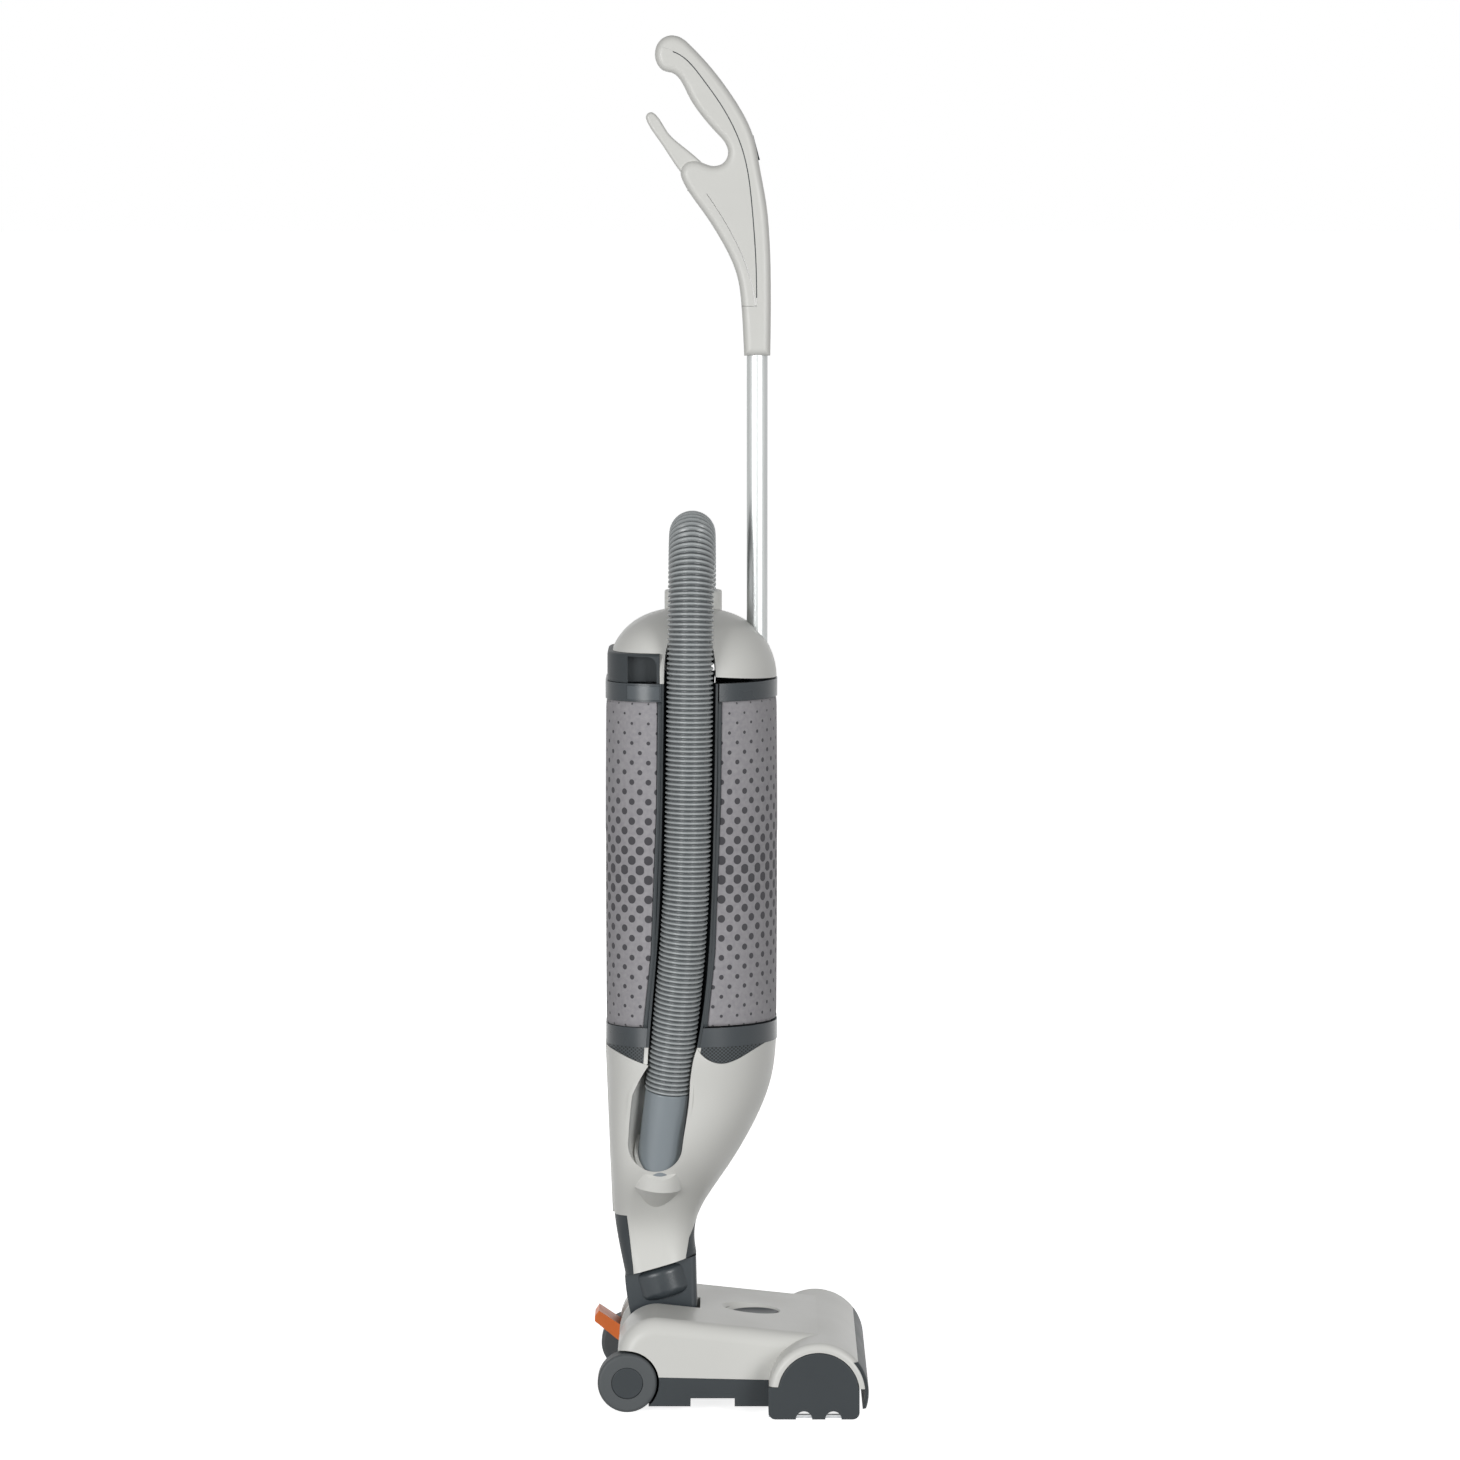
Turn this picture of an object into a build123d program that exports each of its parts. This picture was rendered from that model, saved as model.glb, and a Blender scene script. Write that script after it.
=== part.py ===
from build123d import *
import math
import os

# Slim upright vacuum cleaner, upright and parked, in millimetres.
# +X is the front (brush side), +Z is up, the floor is Z = 0.
# The origin is on the floor under the middle of the whole machine.

# General walls and clearances
wall = 3.0
skin_gap = 0.3
seat_gap = 0.2
pin_clearance = 0.05

# Power head, seen from the side
brush_x = 76.0
brush_z = 22.5
hood_radius = 43.0
hood_half_width = 147.0
end_cap_radius = 35.0
end_cap_thickness = 6.0
head_rear_x = -97.0
head_half_width = 112.0
deck_rear_z = 80.5
deck_front_z = 66.0
head_rear_round = 34.0
head_edge_round = 14.0
hood_end_round = 6.0
skirt_round = 6.0
split_rear_z = 33.0
split_front_z = 25.0
base_floor_z = 5.0
base_wall = 3.0
base_arch_rear_x = -34.0
base_arch_front_x = 4.0
base_arch_height = 7.0
bulkhead_x = 33.0
bumper_thickness = 3.0
bumper_low_z = 9.0
bumper_high_z = 49.0
sole_thickness = 3.0
sole_rear_x = 46.0
sole_front_x = 106.0
mouth_rear_x = 56.0
mouth_front_x = 98.0
mouth_end_wall = 4.8

# Rear wheels
wheel_radius = 25.5
wheel_width = 25.0
wheel_x = -88.5
wheel_outer_y = 115.0
wheel_well_gap = 2.0
wheel_edge_round = 3.0
hub_cap_radius = 13.5
hub_cap_thickness = 3.0
axle_radius = 5.0
axle_inner_y = 78.0

# Brush roller and its belt drive
core_radius = 14.0
core_near_gap = 7.0
core_far_gap = 49.0
tuft_radius = 2.2
tuft_reach = 21.8
tuft_count = 20
tuft_rows = 2
tuft_depth = 3.0
brush_axle_radius = 4.0
bush_radius = 8.0
bush_length = 8.0
belt_gap = 40.0
belt_width = 9.0
belt_thickness = 2.0
pulley_width = 10.0
brush_pulley_radius = 14.0
motor_pulley_radius = 7.0
head_motor_x = 2.0
head_motor_z = 44.0
head_motor_radius = 22.0
head_motor_length = 58.0
head_motor_gap = 5.0
head_shaft_radius = 3.0

# Height dial in the deck
dial_x = 21.0
dial_radius = 21.6
dial_thickness = 7.0
dial_stem_radius = 5.0
dial_drop = 8.0
dial_stem_length = 12.0
dial_grip_width = 7.0
dial_grip_height = 4.0

# Foot pedal
pedal_pin_x = -88.0
pedal_pin_z = 37.0
pedal_pin_radius = 3.0
pedal_low_y = 37.0
pedal_high_y = 75.0
pedal_tip_x = -119.0
pedal_tip_z = 58.0
pedal_thickness = 13.0

# Neck: tilt barrel below, swivel above
tilt_x = -60.0
tilt_z = 48.0
barrel_radius = 31.0
barrel_half_width = 27.0
channel_half_width = 28.0
channel_front_x = -26.0
channel_floor_z = 28.0
tilt_pin_radius = 6.0
tilt_pin_inner_y = 11.0
bracket_inner_y = 31.5
bracket_thickness = 6.0
swivel_lean = 15.8
swivel_foot_x = -44.5
swivel_height = 66.0
neck_half_width = 18.0
neck_rear_x = -92.0
neck_front_x = -30.0
neck_foot_x = -28.0
neck_edge_round = 5.0
drum_radius = 27.0
drum_height = 28.0
drum_round = 7.0
spigot_radius = 18.0
spigot_bore = 15.0
spigot_height = 22.0
swivel_gap = 1.0

# Body column
body_rear_x = -107.0
body_front_x = 40.5
body_half_width = 73.7
body_rear_round = 45.0
housing_top_z = 311.0
ring_height = 17.0
sleeve_height = 282.5
top_ring_height = 15.5
dome_height = 60.0
ring_proud = 0.6
sleeve_thickness = 4.0
shell_thickness = 2.5
door_split_top_x = -13.5
door_split_low_x = -24.0
door_gap = 0.6
door_low_gap = 1.2
door_trim_gap = 1.2
door_hinge_x = 38.2
door_hinge_rise = 3.0
door_pin_radius = 1.5
door_knuckle_width = 13.0
door_lug_width = 4.0
wedge_height = 6.0
neck_seam_z = 159.0
neck_seam_front_x = -29.0
neck_seam_rear_x = -101.0
neck_seam_half_width = 33.0
window_x = -74.5
window_length = 28.0
window_depth = 2.0
carry_front_x = -60.5
carry_height = 25.5
carry_round = 3.0
carry_bar_depth = 19.0
carry_web_half_width = 52.0
carry_pocket_round = 8.0

# Suction motor, fan and dust bag inside the column
motor_x = -36.0
motor_y = 16.0
motor_radius = 36.0
motor_low_z = 222.0
motor_high_z = 286.0
mount_height = 5.0
fan_radius = 33.0
fan_height = 12.0
fan_shaft_radius = 4.0
fan_blade_count = 9
fan_case_wall = 2.5
filter_thickness = 8.0
bag_floor_room = 24.0
bag_head_room = 20.5
bag_inset = 14.0

# Hose route and cuff on the near side (-Y)
hose_radius = 20.0
hose_valley_radius = 18.2
hose_bore_radius = 16.5
rib_pitch = 4.2
rib_crest = 1.6
rib_slope = 0.7
hose_socket_x = -32.0
hose_socket_y = 24.0
hose_arch_rise = 126.0
hose_mid_rise = 192.0
hose_low_rise = 64.0
hose_end_drop = 39.0
channel_radius = 22.5
trim_thickness = 2.0
cuff_radius = 19.0
cuff_length = 84.0
scoop_rise = 34.0
scoop_taper = 40.0
scoop_length = 46.0
scoop_spread = 6.0
scoop_rear_shift = 5.0
scoop_near_shift = 11.0
boss_floor = 2.0
boss_taper = 26.0
boss_tip_radius = 9.0
boss_sink = 20.0
lip_side_depth = 54.0
lip_slope = 43.5
cuff_bore_radius = 16.0
socket_wall = 3.0
hose_socket_radius = 25.0
hose_socket_rise = 34.0
hose_socket_base = 2.0
hose_socket_height = 40.0

# Handle tube and grip
tube_x = 23.5
tube_radius = 9.0
tube_wall = 1.2
tube_depth = 12.5
tube_length = 350.0
tube_grip_depth = 43.0
tube_socket_wall = 2.5
grip_half_width = 13.0
grip_round = 7.0
prong_half_width = 8.0
prong_round = 3.0
grip_seam_gap = 0.3
rocker_x = 22.0
rocker_rise = 179.0
rocker_lean = 15.0
rocker_length = 22.0
rocker_width = 11.0
rocker_depth = 6.0
rocker_pin_radius = 1.5
gland_x = -30.0
gland_rise = 143.0
gland_lean = 50.0
gland_radius = 5.0
gland_length = 10.0
screw_head_radius = 3.5
screw_head_height = 1.8
screw_radius = 1.5

# Side outlines of the grip: X, and rise above the grip's lower end
grip_outline = [
    (12.2, 0.0), (11.3, 20.0), (9.6, 46.0), (7.0, 65.0), (0.5, 84.0), (-8.5, 101.0), (-19.0, 118.0),
    (-30.5, 134.0), (-40.0, 149.0), (-42.5, 159.0), (-37.5, 166.5), (-28.0, 167.5), (-15.7, 163.4),
    (-6.0, 165.8), (-1.7, 175.0), (-4.6, 183.8), (-12.2, 192.5), (-23.5, 205.5), (-34.5, 221.5),
    (-42.0, 236.0), (-49.0, 243.0), (-57.5, 245.5), (-63.3, 252.5), (-64.5, 262.0), (-60.0, 271.5),
    (-51.0, 275.6), (-42.0, 273.5), (-33.5, 266.5), (-22.0, 254.5), (-7.8, 237.3), (4.4, 219.9),
    (14.0, 203.5), (20.9, 186.0), (24.6, 168.0), (28.0, 150.0), (31.2, 132.0), (33.2, 114.0),
    (34.5, 94.0), (35.3, 60.0), (35.2, 25.0), (34.8, 0.0),
]
prong_outline = [
    (-24.0, 136.0), (-38.0, 152.0), (-49.6, 168.0), (-60.9, 185.1), (-71.8, 202.4), (-72.5, 205.8),
    (-70.6, 208.8), (-67.2, 209.5), (-64.2, 207.6), (-53.5, 192.0), (-43.5, 182.4), (-22.6, 164.5),
    (-12.0, 146.0),
]
grip_seam = [
    (-75.0, 265.0), (-43.5, 259.0), (-25.0, 240.0), (-6.0, 213.0), (11.0, 176.0),
    (19.0, 126.0), (22.3, 77.0), (22.8, 50.0),
]
strip_edge = [(-20.0, 140.0), (4.0, 101.0), (17.0, 69.0), (22.0, 43.0)]
strip_top = (-60.0, 103.0)
strip_low_rise = 40.0

# Heights up the column, each from the one below
ring_top_z = housing_top_z + ring_height
sleeve_top_z = ring_top_z + sleeve_height
dome_low_z = sleeve_top_z + top_ring_height
dome_top_z = dome_low_z + dome_height
carry_top_z = dome_low_z + carry_height
bag_low_z = ring_top_z + bag_floor_room
bag_high_z = sleeve_top_z - bag_head_room
tube_low_z = sleeve_top_z - tube_depth
tube_high_z = tube_low_z + tube_length
grip_low_z = tube_high_z - tube_grip_depth
rocker_z = grip_low_z + rocker_rise
gland_z = grip_low_z + gland_rise
hose_socket_low_z = dome_low_z + hose_socket_rise
hose_socket_high_z = hose_socket_low_z + hose_socket_height
hose_start_z = hose_socket_low_z + hose_socket_base
hose_arch_z = dome_low_z + hose_arch_rise
body_mid_x = (body_rear_x + body_front_x) / 2
body_half_depth = (body_front_x - body_rear_x) / 2

# Corners of the hose's centreline, from its socket to its cuff
hose_route = [
    (hose_socket_x, hose_socket_y, hose_start_z),
    (hose_socket_x, hose_socket_y, hose_arch_z),
    (-33.0, -74.0, hose_arch_z),
    (-35.5, -76.0, ring_top_z + hose_mid_rise),
    (-39.5, -76.5, ring_top_z + hose_low_rise),
    (-54.0, -59.0, housing_top_z - hose_end_drop),
]

# Places along the brush, from the hood's width
cap_inner_y = hood_half_width - end_cap_thickness
mouth_half_width = cap_inner_y - seat_gap - mouth_end_wall
core_near_y = core_near_gap - cap_inner_y
core_far_y = cap_inner_y - core_far_gap
belt_y = cap_inner_y - belt_gap
head_motor_y = belt_y - pulley_width / 2 - head_motor_length / 2 - head_motor_gap


def block(low_x, high_x, low_y, high_y, low_z, high_z):
    """Box between two opposite corners."""
    middle = Pos((low_x + high_x) / 2, (low_y + high_y) / 2, (low_z + high_z) / 2)
    return middle * Box(high_x - low_x, high_y - low_y, high_z - low_z)


def side_slab(face, low_y, high_y):
    """Side-view face (X across, Z up) carried from low_y to high_y."""
    return extrude(Plane.XZ.offset(-high_y) * face, high_y - low_y)


def side_face(*points):
    """Closed side-view face with straight edges."""
    return make_face(Polyline(*points, close=True))


def cross_rod(x, z, radius, low_y, high_y):
    """Round bar across the machine, along Y."""
    return Pos(x, (low_y + high_y) / 2, z) * Rot(X=90) * Cylinder(radius, high_y - low_y)


def post(x, y, radius, low_z, high_z):
    """Upright round bar."""
    return Pos(x, y, (low_z + high_z) / 2) * Cylinder(radius, high_z - low_z)


def both_sides(solid):
    """A solid and its mirror image across the middle plane."""
    return [solid, mirror(solid, Plane.XZ)]


def head_profile(inset):
    """Side view of the head behind the brush hood, drawn in by inset."""
    rear = head_rear_x + inset
    corner_x = rear + head_rear_round
    slope = (deck_front_z - deck_rear_z) / (brush_x - corner_x)
    top = deck_rear_z - inset
    mid = head_rear_round * math.sqrt(0.5)
    outline = [
        Line((rear, base_floor_z), (rear, top - head_rear_round)),
        ThreePointArc(
            (rear, top - head_rear_round),
            (corner_x - mid, top - head_rear_round + mid),
            (corner_x, top),
        ),
        Line((corner_x, top), (brush_x, top + slope * (brush_x - corner_x))),
        Line((brush_x, top + slope * (brush_x - corner_x)), (brush_x, base_floor_z)),
        Line((brush_x, base_floor_z), (rear, base_floor_z)),
    ]
    return make_face(outline)


def split_band(gap, upper):
    """Side-view region above or below the sloping seam of cover and base."""
    seam_rear = split_rear_z + gap
    seam_front = split_front_z + gap
    far_z = 2 * deck_rear_z if upper else -deck_rear_z
    left = 2 * head_rear_x
    right = brush_x + 2 * hood_radius
    return side_face((left, seam_rear), (right, seam_front), (right, far_z), (left, far_z))


def wheel_wells():
    """Room for both rear wheels."""
    inner = wheel_outer_y - wheel_width - wheel_well_gap
    well = cross_rod(wheel_x, wheel_radius, wheel_radius + wheel_well_gap, inner, hood_half_width)
    slot = block(2 * head_rear_x, wheel_x, inner, hood_half_width, 0, wheel_radius)
    return both_sides(well + slot)


def neck_channel(floor_z):
    """Slot in which the neck leans back, open to the rear."""
    half = channel_half_width
    return block(2 * head_rear_x, channel_front_x, -half, half, floor_z, 2 * deck_rear_z)


def pedal_slot():
    """Opening in the rear wall round the foot pedal."""
    low = pedal_low_y - 2
    high = pedal_high_y + 2
    return block(2 * head_rear_x, pedal_pin_x + 9, low, high, pedal_pin_z - 16, pedal_tip_z + 10)


def brush_hood(radius, half_width):
    """Round hood over the brush roller."""
    return cross_rod(brush_x, brush_z, radius, -half_width, half_width)


def hood_form():
    """Outside of the brush hood with its rounded ends."""
    hood = brush_hood(hood_radius, hood_half_width)
    ends = hood.edges().group_by(Axis.Y)
    return fillet(ends[0] + ends[-1], hood_end_round)


def head_slab(inset):
    """Head behind the hood with rounded upper side edges, drawn in by inset."""
    half_width = head_half_width - inset
    slab = side_slab(head_profile(inset), -half_width, half_width)
    sides = slab.edges().group_by(Axis.Y)
    rim = [e for e in sides[0] + sides[-1] if e.center().Z > split_rear_z]
    return fillet(rim, head_edge_round - inset)


def make_head_cover():
    """Light upper cover with brush hood, dial well and neck channel."""
    outer = head_slab(0) + hood_form()
    hollow = head_slab(wall)
    channel_wall = block(
        2 * head_rear_x, channel_front_x + wall,
        -channel_half_width - wall, channel_half_width + wall, 0, 2 * deck_rear_z,
    )
    hollow = hollow - channel_wall
    well_low_z = deck_top_z(dial_x) - dial_drop - dial_thickness - wall - skin_gap
    well = post(dial_x, 0, dial_radius + skin_gap + wall, well_low_z, deck_rear_z)
    hollow = hollow - well
    hood_hollow = brush_hood(hood_radius - wall, hood_half_width - end_cap_thickness - wall)
    cover = outer - hollow - hood_hollow
    for end in both_sides(end_cap_room()):
        cover = cover - end
    cover = cover & side_slab(split_band(seat_gap, True), -hood_half_width, hood_half_width)
    cover = cover - neck_channel(0)
    dial_room = post(dial_x, 0, dial_radius + skin_gap, well_low_z + wall, 2 * deck_rear_z)
    stem_room = post(dial_x, 0, dial_stem_radius + pin_clearance, 0, deck_rear_z)
    cover = cover - dial_room - stem_room
    bevel_z = deck_top_z(dial_x)
    bevel = Pos(dial_x, 0, bevel_z) * Cone(dial_radius, dial_radius + 8, 8)
    cover = cover - bevel
    pin_slot = block(
        tilt_x - tilt_pin_radius - skin_gap, tilt_x + tilt_pin_radius + skin_gap,
        -bracket_inner_y, bracket_inner_y, 0, tilt_z + tilt_pin_radius + skin_gap,
    )
    cover = cover - pin_slot - pedal_slot() - duct_outer(seat_gap) - belt_window() - duct_port()
    for bush in both_sides(cross_rod(brush_x, brush_z, bush_radius + seat_gap, 0, hood_half_width)):
        cover = cover - bush
    for well_room in wheel_wells():
        cover = cover - well_room
    cover = cover - bumper_room()
    return cover


def deck_top_z(x):
    """Height of the deck's top at x."""
    corner_x = head_rear_x + head_rear_round
    share = (x - corner_x) / (brush_x - corner_x)
    return deck_rear_z + share * (deck_front_z - deck_rear_z)


def end_cap_room():
    """Round seat of a brush end cap, on the +Y end."""
    inner = hood_half_width - end_cap_thickness - seat_gap
    return cross_rod(brush_x, brush_z, end_cap_radius + seat_gap, inner, hood_half_width + 1)


def bumper_room():
    """Band of the hood's front that the bumper fills, with its seam gap."""
    inner = hood_radius - bumper_thickness - seat_gap
    ring = brush_hood(hood_radius + 1, hood_half_width + 1) - brush_hood(inner, hood_half_width + 2)
    half = 2 * hood_half_width
    front = block(brush_x, brush_x + 2 * hood_radius, -half, half, 0, bumper_high_z + seat_gap)
    return ring & front


def make_front_bumper():
    """Dark strip let into the front of the hood."""
    ring = hood_form() - brush_hood(hood_radius - bumper_thickness, hood_half_width + 1)
    half = hood_half_width
    front = block(brush_x, brush_x + 2 * hood_radius, -half, half, bumper_low_z, bumper_high_z)
    return ring & front


def make_head_base():
    """Dark tray: floor, walls, bulkhead, axle bosses and neck brackets."""
    floor_top = base_floor_z + base_wall
    outer = side_slab(head_profile(0), -head_half_width, head_half_width)
    half = hood_half_width
    outer = outer - block(bulkhead_x + base_wall, 2 * brush_x, -half, half, 0, 2 * deck_rear_z)
    outer = outer & side_slab(split_band(0, False), -head_half_width, head_half_width)
    inner_half = head_half_width - base_wall
    hollow = block(head_rear_x + base_wall, bulkhead_x, -inner_half, inner_half, floor_top, 2 * deck_rear_z)
    tray = outer - hollow
    arch = block(
        base_arch_rear_x, base_arch_front_x, -half, half, 0, base_floor_z + base_arch_height,
    )
    raised = block(
        base_arch_rear_x - base_wall, base_arch_front_x + base_wall,
        -inner_half, inner_half, floor_top, floor_top + base_arch_height,
    )
    tray = tray + raised - arch
    front_half = hood_half_width - end_cap_thickness - seat_gap
    front_wall = block(
        bulkhead_x, bulkhead_x + base_wall, -front_half, front_half, sole_thickness + seat_gap, deck_rear_z,
    )
    front_wall = front_wall & side_slab(split_band(0, False), -hood_half_width, hood_half_width)
    tray = tray + front_wall - belt_window() - duct_port()
    for bracket in both_sides(neck_bracket(floor_top)):
        tray = tray + bracket
    for boss in both_sides(axle_boss()):
        tray = tray + (boss & side_slab(split_band(0, False), -head_half_width, head_half_width))
    for ear in pedal_ears(floor_top):
        tray = tray + ear
    for cradle in motor_cradles(floor_top):
        tray = tray + cradle
    tray = tray - block(
        2 * head_rear_x, channel_front_x, -channel_half_width, channel_half_width,
        channel_floor_z, deck_rear_z,
    )
    tray = tray - pedal_slot_low()
    for room in wheel_wells():
        tray = tray - room
    for rod in both_sides(cross_rod(wheel_x, wheel_radius, axle_radius, axle_inner_y - 1, hood_half_width)):
        tray = tray - rod
    for rod in both_sides(cross_rod(tilt_x, tilt_z, tilt_pin_radius, 0, 2 * bracket_inner_y)):
        tray = tray - rod
    tray = tray - cross_rod(pedal_pin_x, pedal_pin_z, pedal_pin_radius, pedal_low_y - 8, pedal_high_y + 4)
    tray = tray - duct_outer(seat_gap)
    for hole in screw_holes():
        tray = tray - hole
    return tray


def pedal_slot_low():
    """Opening in the tray's rear wall under the pedal."""
    return block(
        2 * head_rear_x, head_rear_x + base_wall, pedal_low_y - 2, pedal_high_y + 2,
        pedal_pin_z - 20, deck_rear_z,
    )


def belt_window():
    """Slot in the brush chamber's rear wall that the belt runs through."""
    return block(
        bulkhead_x - 1, brush_x, belt_y - belt_width, belt_y + belt_width - 1,
        brush_z - brush_pulley_radius - 2 * belt_thickness, deck_front_z - 2 * wall,
    )


def duct_port():
    """Air port from the brush chamber into the duct."""
    return block(bulkhead_x - 1, brush_x - core_radius, -16, 16, 22, 42)


def neck_bracket(floor_top):
    """Upright plate that carries one tilt pin, on the +Y side."""
    plate = block(
        tilt_x - 12, tilt_x + 12, bracket_inner_y, bracket_inner_y + bracket_thickness, floor_top, tilt_z,
    )
    return plate + cross_rod(tilt_x, tilt_z, 12, bracket_inner_y, bracket_inner_y + bracket_thickness)


def axle_boss():
    """Block that holds one stub axle, on the +Y side."""
    outer = wheel_outer_y - wheel_width - wheel_well_gap
    return block(
        wheel_x - axle_radius - base_wall, wheel_x + axle_radius + base_wall,
        axle_inner_y, outer, base_floor_z, split_rear_z,
    )


def pedal_ears(floor_top):
    """Two ears that carry the pedal pin."""
    ears = []
    for low in (pedal_low_y - 5, pedal_high_y + 1):
        ears.append(block(
            pedal_pin_x - 5, pedal_pin_x + 5, low, low + 4, floor_top, pedal_pin_z + 5,
        ))
    return ears


def motor_cradles(floor_top):
    """Two saddles under the brush motor."""
    cradles = []
    room = cross_rod(head_motor_x, head_motor_z, head_motor_radius, -hood_half_width, hood_half_width)
    for shift in (-0.35, 0.35):
        middle = head_motor_y + shift * head_motor_length
        saddle = block(
            head_motor_x - 14, head_motor_x + 14, middle - 2.5, middle + 2.5,
            floor_top, head_motor_z - 0.5 * head_motor_radius,
        )
        cradles.append(saddle - room)
    return cradles


def duct_outer(grow):
    """Outside of the flat air duct from the brush chamber to the neck."""
    tube = block(
        channel_front_x - 6, bulkhead_x + base_wall + 2, -18 - grow, 18 + grow, 20 - grow, 44 + grow,
    )
    return tube - cross_rod(tilt_x, tilt_z, barrel_radius + skin_gap, -40, 40)


def make_suction_duct():
    """Flat air duct between the brush chamber and the neck barrel."""
    return duct_outer(0) - block(-80, 80, -16, 16, 22, 42)


def cap_skirt():
    """Dark foot of an end cap below the seam, on the +Y end."""
    foot = block(
        bulkhead_x, brush_x + end_cap_radius, cap_inner_y, hood_half_width, 0, deck_front_z,
    )
    corners = [edge for edge in foot.edges().filter_by(Axis.Y) if edge.center().Z < brush_z]
    foot = fillet(corners, skirt_round)
    return foot & side_slab(split_band(-seat_gap, False), 0, 2 * hood_half_width)


def make_end_cap(side):
    """Round end cap of the brush chamber with its feet and a bush seat."""
    disc = cross_rod(brush_x, brush_z, end_cap_radius, cap_inner_y, hood_half_width)
    disc = fillet(disc.edges().group_by(Axis.Y)[-1], 1.5)
    disc = disc & block(0, 2 * brush_x, 0, 2 * hood_half_width, 0, 2 * deck_rear_z)
    disc = disc + cap_skirt()
    for shift in (-0.36, 0.36):
        arch_x = brush_x + shift * end_cap_radius
        disc = disc - cross_rod(arch_x, 0, 0.2 * end_cap_radius, cap_inner_y - 1, hood_half_width + 1)
    seat = cross_rod(brush_x, brush_z, bush_radius, cap_inner_y - 1, cap_inner_y + end_cap_thickness / 2)
    disc = disc - seat
    if side < 0:
        return mirror(disc, Plane.XZ)
    return disc


def bush_span():
    """Inner and outer Y of the brush bush on the +Y side."""
    outer = hood_half_width - end_cap_thickness / 2
    return outer - bush_length, outer


def make_brush_bushes():
    """Two plain bearing bushes seated in the end caps."""
    low, high = bush_span()
    bush = cross_rod(brush_x, brush_z, bush_radius, low, high)
    bush = bush - cross_rod(brush_x, brush_z, brush_axle_radius + pin_clearance, low - 1, high + 1)
    return Compound(children=both_sides(bush))


def make_brush_core():
    """Roller core turned in one piece with its two end journals."""
    low, high = bush_span()
    core = cross_rod(brush_x, brush_z, core_radius, core_near_y, core_far_y)
    journal = cross_rod(brush_x, brush_z, brush_axle_radius, -high + 1, high - 1)
    return core + journal + brush_pulley()


def make_brush_bristles():
    """Two helical rows of round bristle tufts set into the core."""
    span = core_far_y - core_near_y - 4 * tuft_radius
    tufts = []
    for row in range(tuft_rows):
        for number in range(tuft_count):
            share = number / (tuft_count - 1)
            y = core_near_y + 2 * tuft_radius + share * span
            turn = 360 * row / tuft_rows + 300 * share
            length = tuft_reach - core_radius + tuft_depth
            tuft = Pos(0, 0, core_radius - tuft_depth + length / 2) * Cylinder(tuft_radius, length)
            tufts.append(Pos(brush_x, y, brush_z) * Rot(Y=turn) * tuft)
    return Compound(children=tufts)


def brush_pulley():
    """Belt wheel on the far end of the brush roller."""
    half = pulley_width / 2
    return cross_rod(brush_x, brush_z, brush_pulley_radius, belt_y - half, belt_y + half)


def make_drive_belt():
    """Flat belt round the two pulleys."""
    grow = skin_gap + belt_thickness
    outer = belt_loop(motor_pulley_radius + grow, brush_pulley_radius + grow)
    inner = belt_loop(motor_pulley_radius + skin_gap, brush_pulley_radius + skin_gap)
    return side_slab(outer - inner, belt_y - belt_width / 2, belt_y + belt_width / 2)


def belt_loop(motor_side, brush_side):
    """Tight loop round one circle at the motor and one at the brush."""
    small = Pos(head_motor_x, head_motor_z) * Circle(motor_side)
    large = Pos(brush_x, brush_z) * Circle(brush_side)
    return make_hull((small + large).edges())


def make_head_motor():
    """Brush motor can, bored for its shaft."""
    low = head_motor_y - head_motor_length / 2
    high = head_motor_y + head_motor_length / 2
    can = cross_rod(head_motor_x, head_motor_z, head_motor_radius - seat_gap, low, high)
    can = chamfer(can.edges(), 2)
    return can - cross_rod(head_motor_x, head_motor_z, head_shaft_radius + pin_clearance, low - 1, high + 1)


def make_head_shaft():
    """Brush motor shaft with its small belt pulley."""
    low = head_motor_y - head_motor_length / 2
    shaft = cross_rod(head_motor_x, head_motor_z, head_shaft_radius, low + 2, belt_y + pulley_width / 2)
    pulley = cross_rod(
        head_motor_x, head_motor_z, motor_pulley_radius, belt_y - pulley_width / 2, belt_y + pulley_width / 2,
    )
    return shaft + pulley


def make_sole_plate():
    """Metal plate under the brush chamber with the suction mouth."""
    half = hood_half_width - end_cap_thickness - seat_gap
    plate = block(sole_rear_x, sole_front_x, -half, half, 0, sole_thickness)
    half = mouth_half_width
    plate = plate - block(mouth_rear_x, mouth_front_x, -half, half, -1, sole_thickness + 1)
    lip = block(bulkhead_x, sole_rear_x, -half, half, 0, sole_thickness)
    return plate + lip


def make_wheel(side):
    """Rear wheel with a recess for its hub cap."""
    inner = wheel_outer_y - wheel_width
    wheel = cross_rod(wheel_x, wheel_radius, wheel_radius, inner, wheel_outer_y)
    wheel = fillet(wheel.edges(), wheel_edge_round)
    bore_radius = axle_radius + pin_clearance
    wheel = wheel - cross_rod(wheel_x, wheel_radius, bore_radius, inner - 1, wheel_outer_y + 1)
    recess = cross_rod(
        wheel_x, wheel_radius, hub_cap_radius + seat_gap,
        wheel_outer_y - hub_cap_thickness, wheel_outer_y + 1,
    )
    wheel = wheel - recess
    if side < 0:
        return mirror(wheel, Plane.XZ)
    return wheel


def make_hub_cap(side):
    """Round cap pressed into the wheel's outer face."""
    cap = cross_rod(wheel_x, wheel_radius, hub_cap_radius, wheel_outer_y - hub_cap_thickness, wheel_outer_y)
    cap = fillet(cap.edges().group_by(Axis.Y)[-1], 0.8)
    if side < 0:
        return mirror(cap, Plane.XZ)
    return cap


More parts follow.
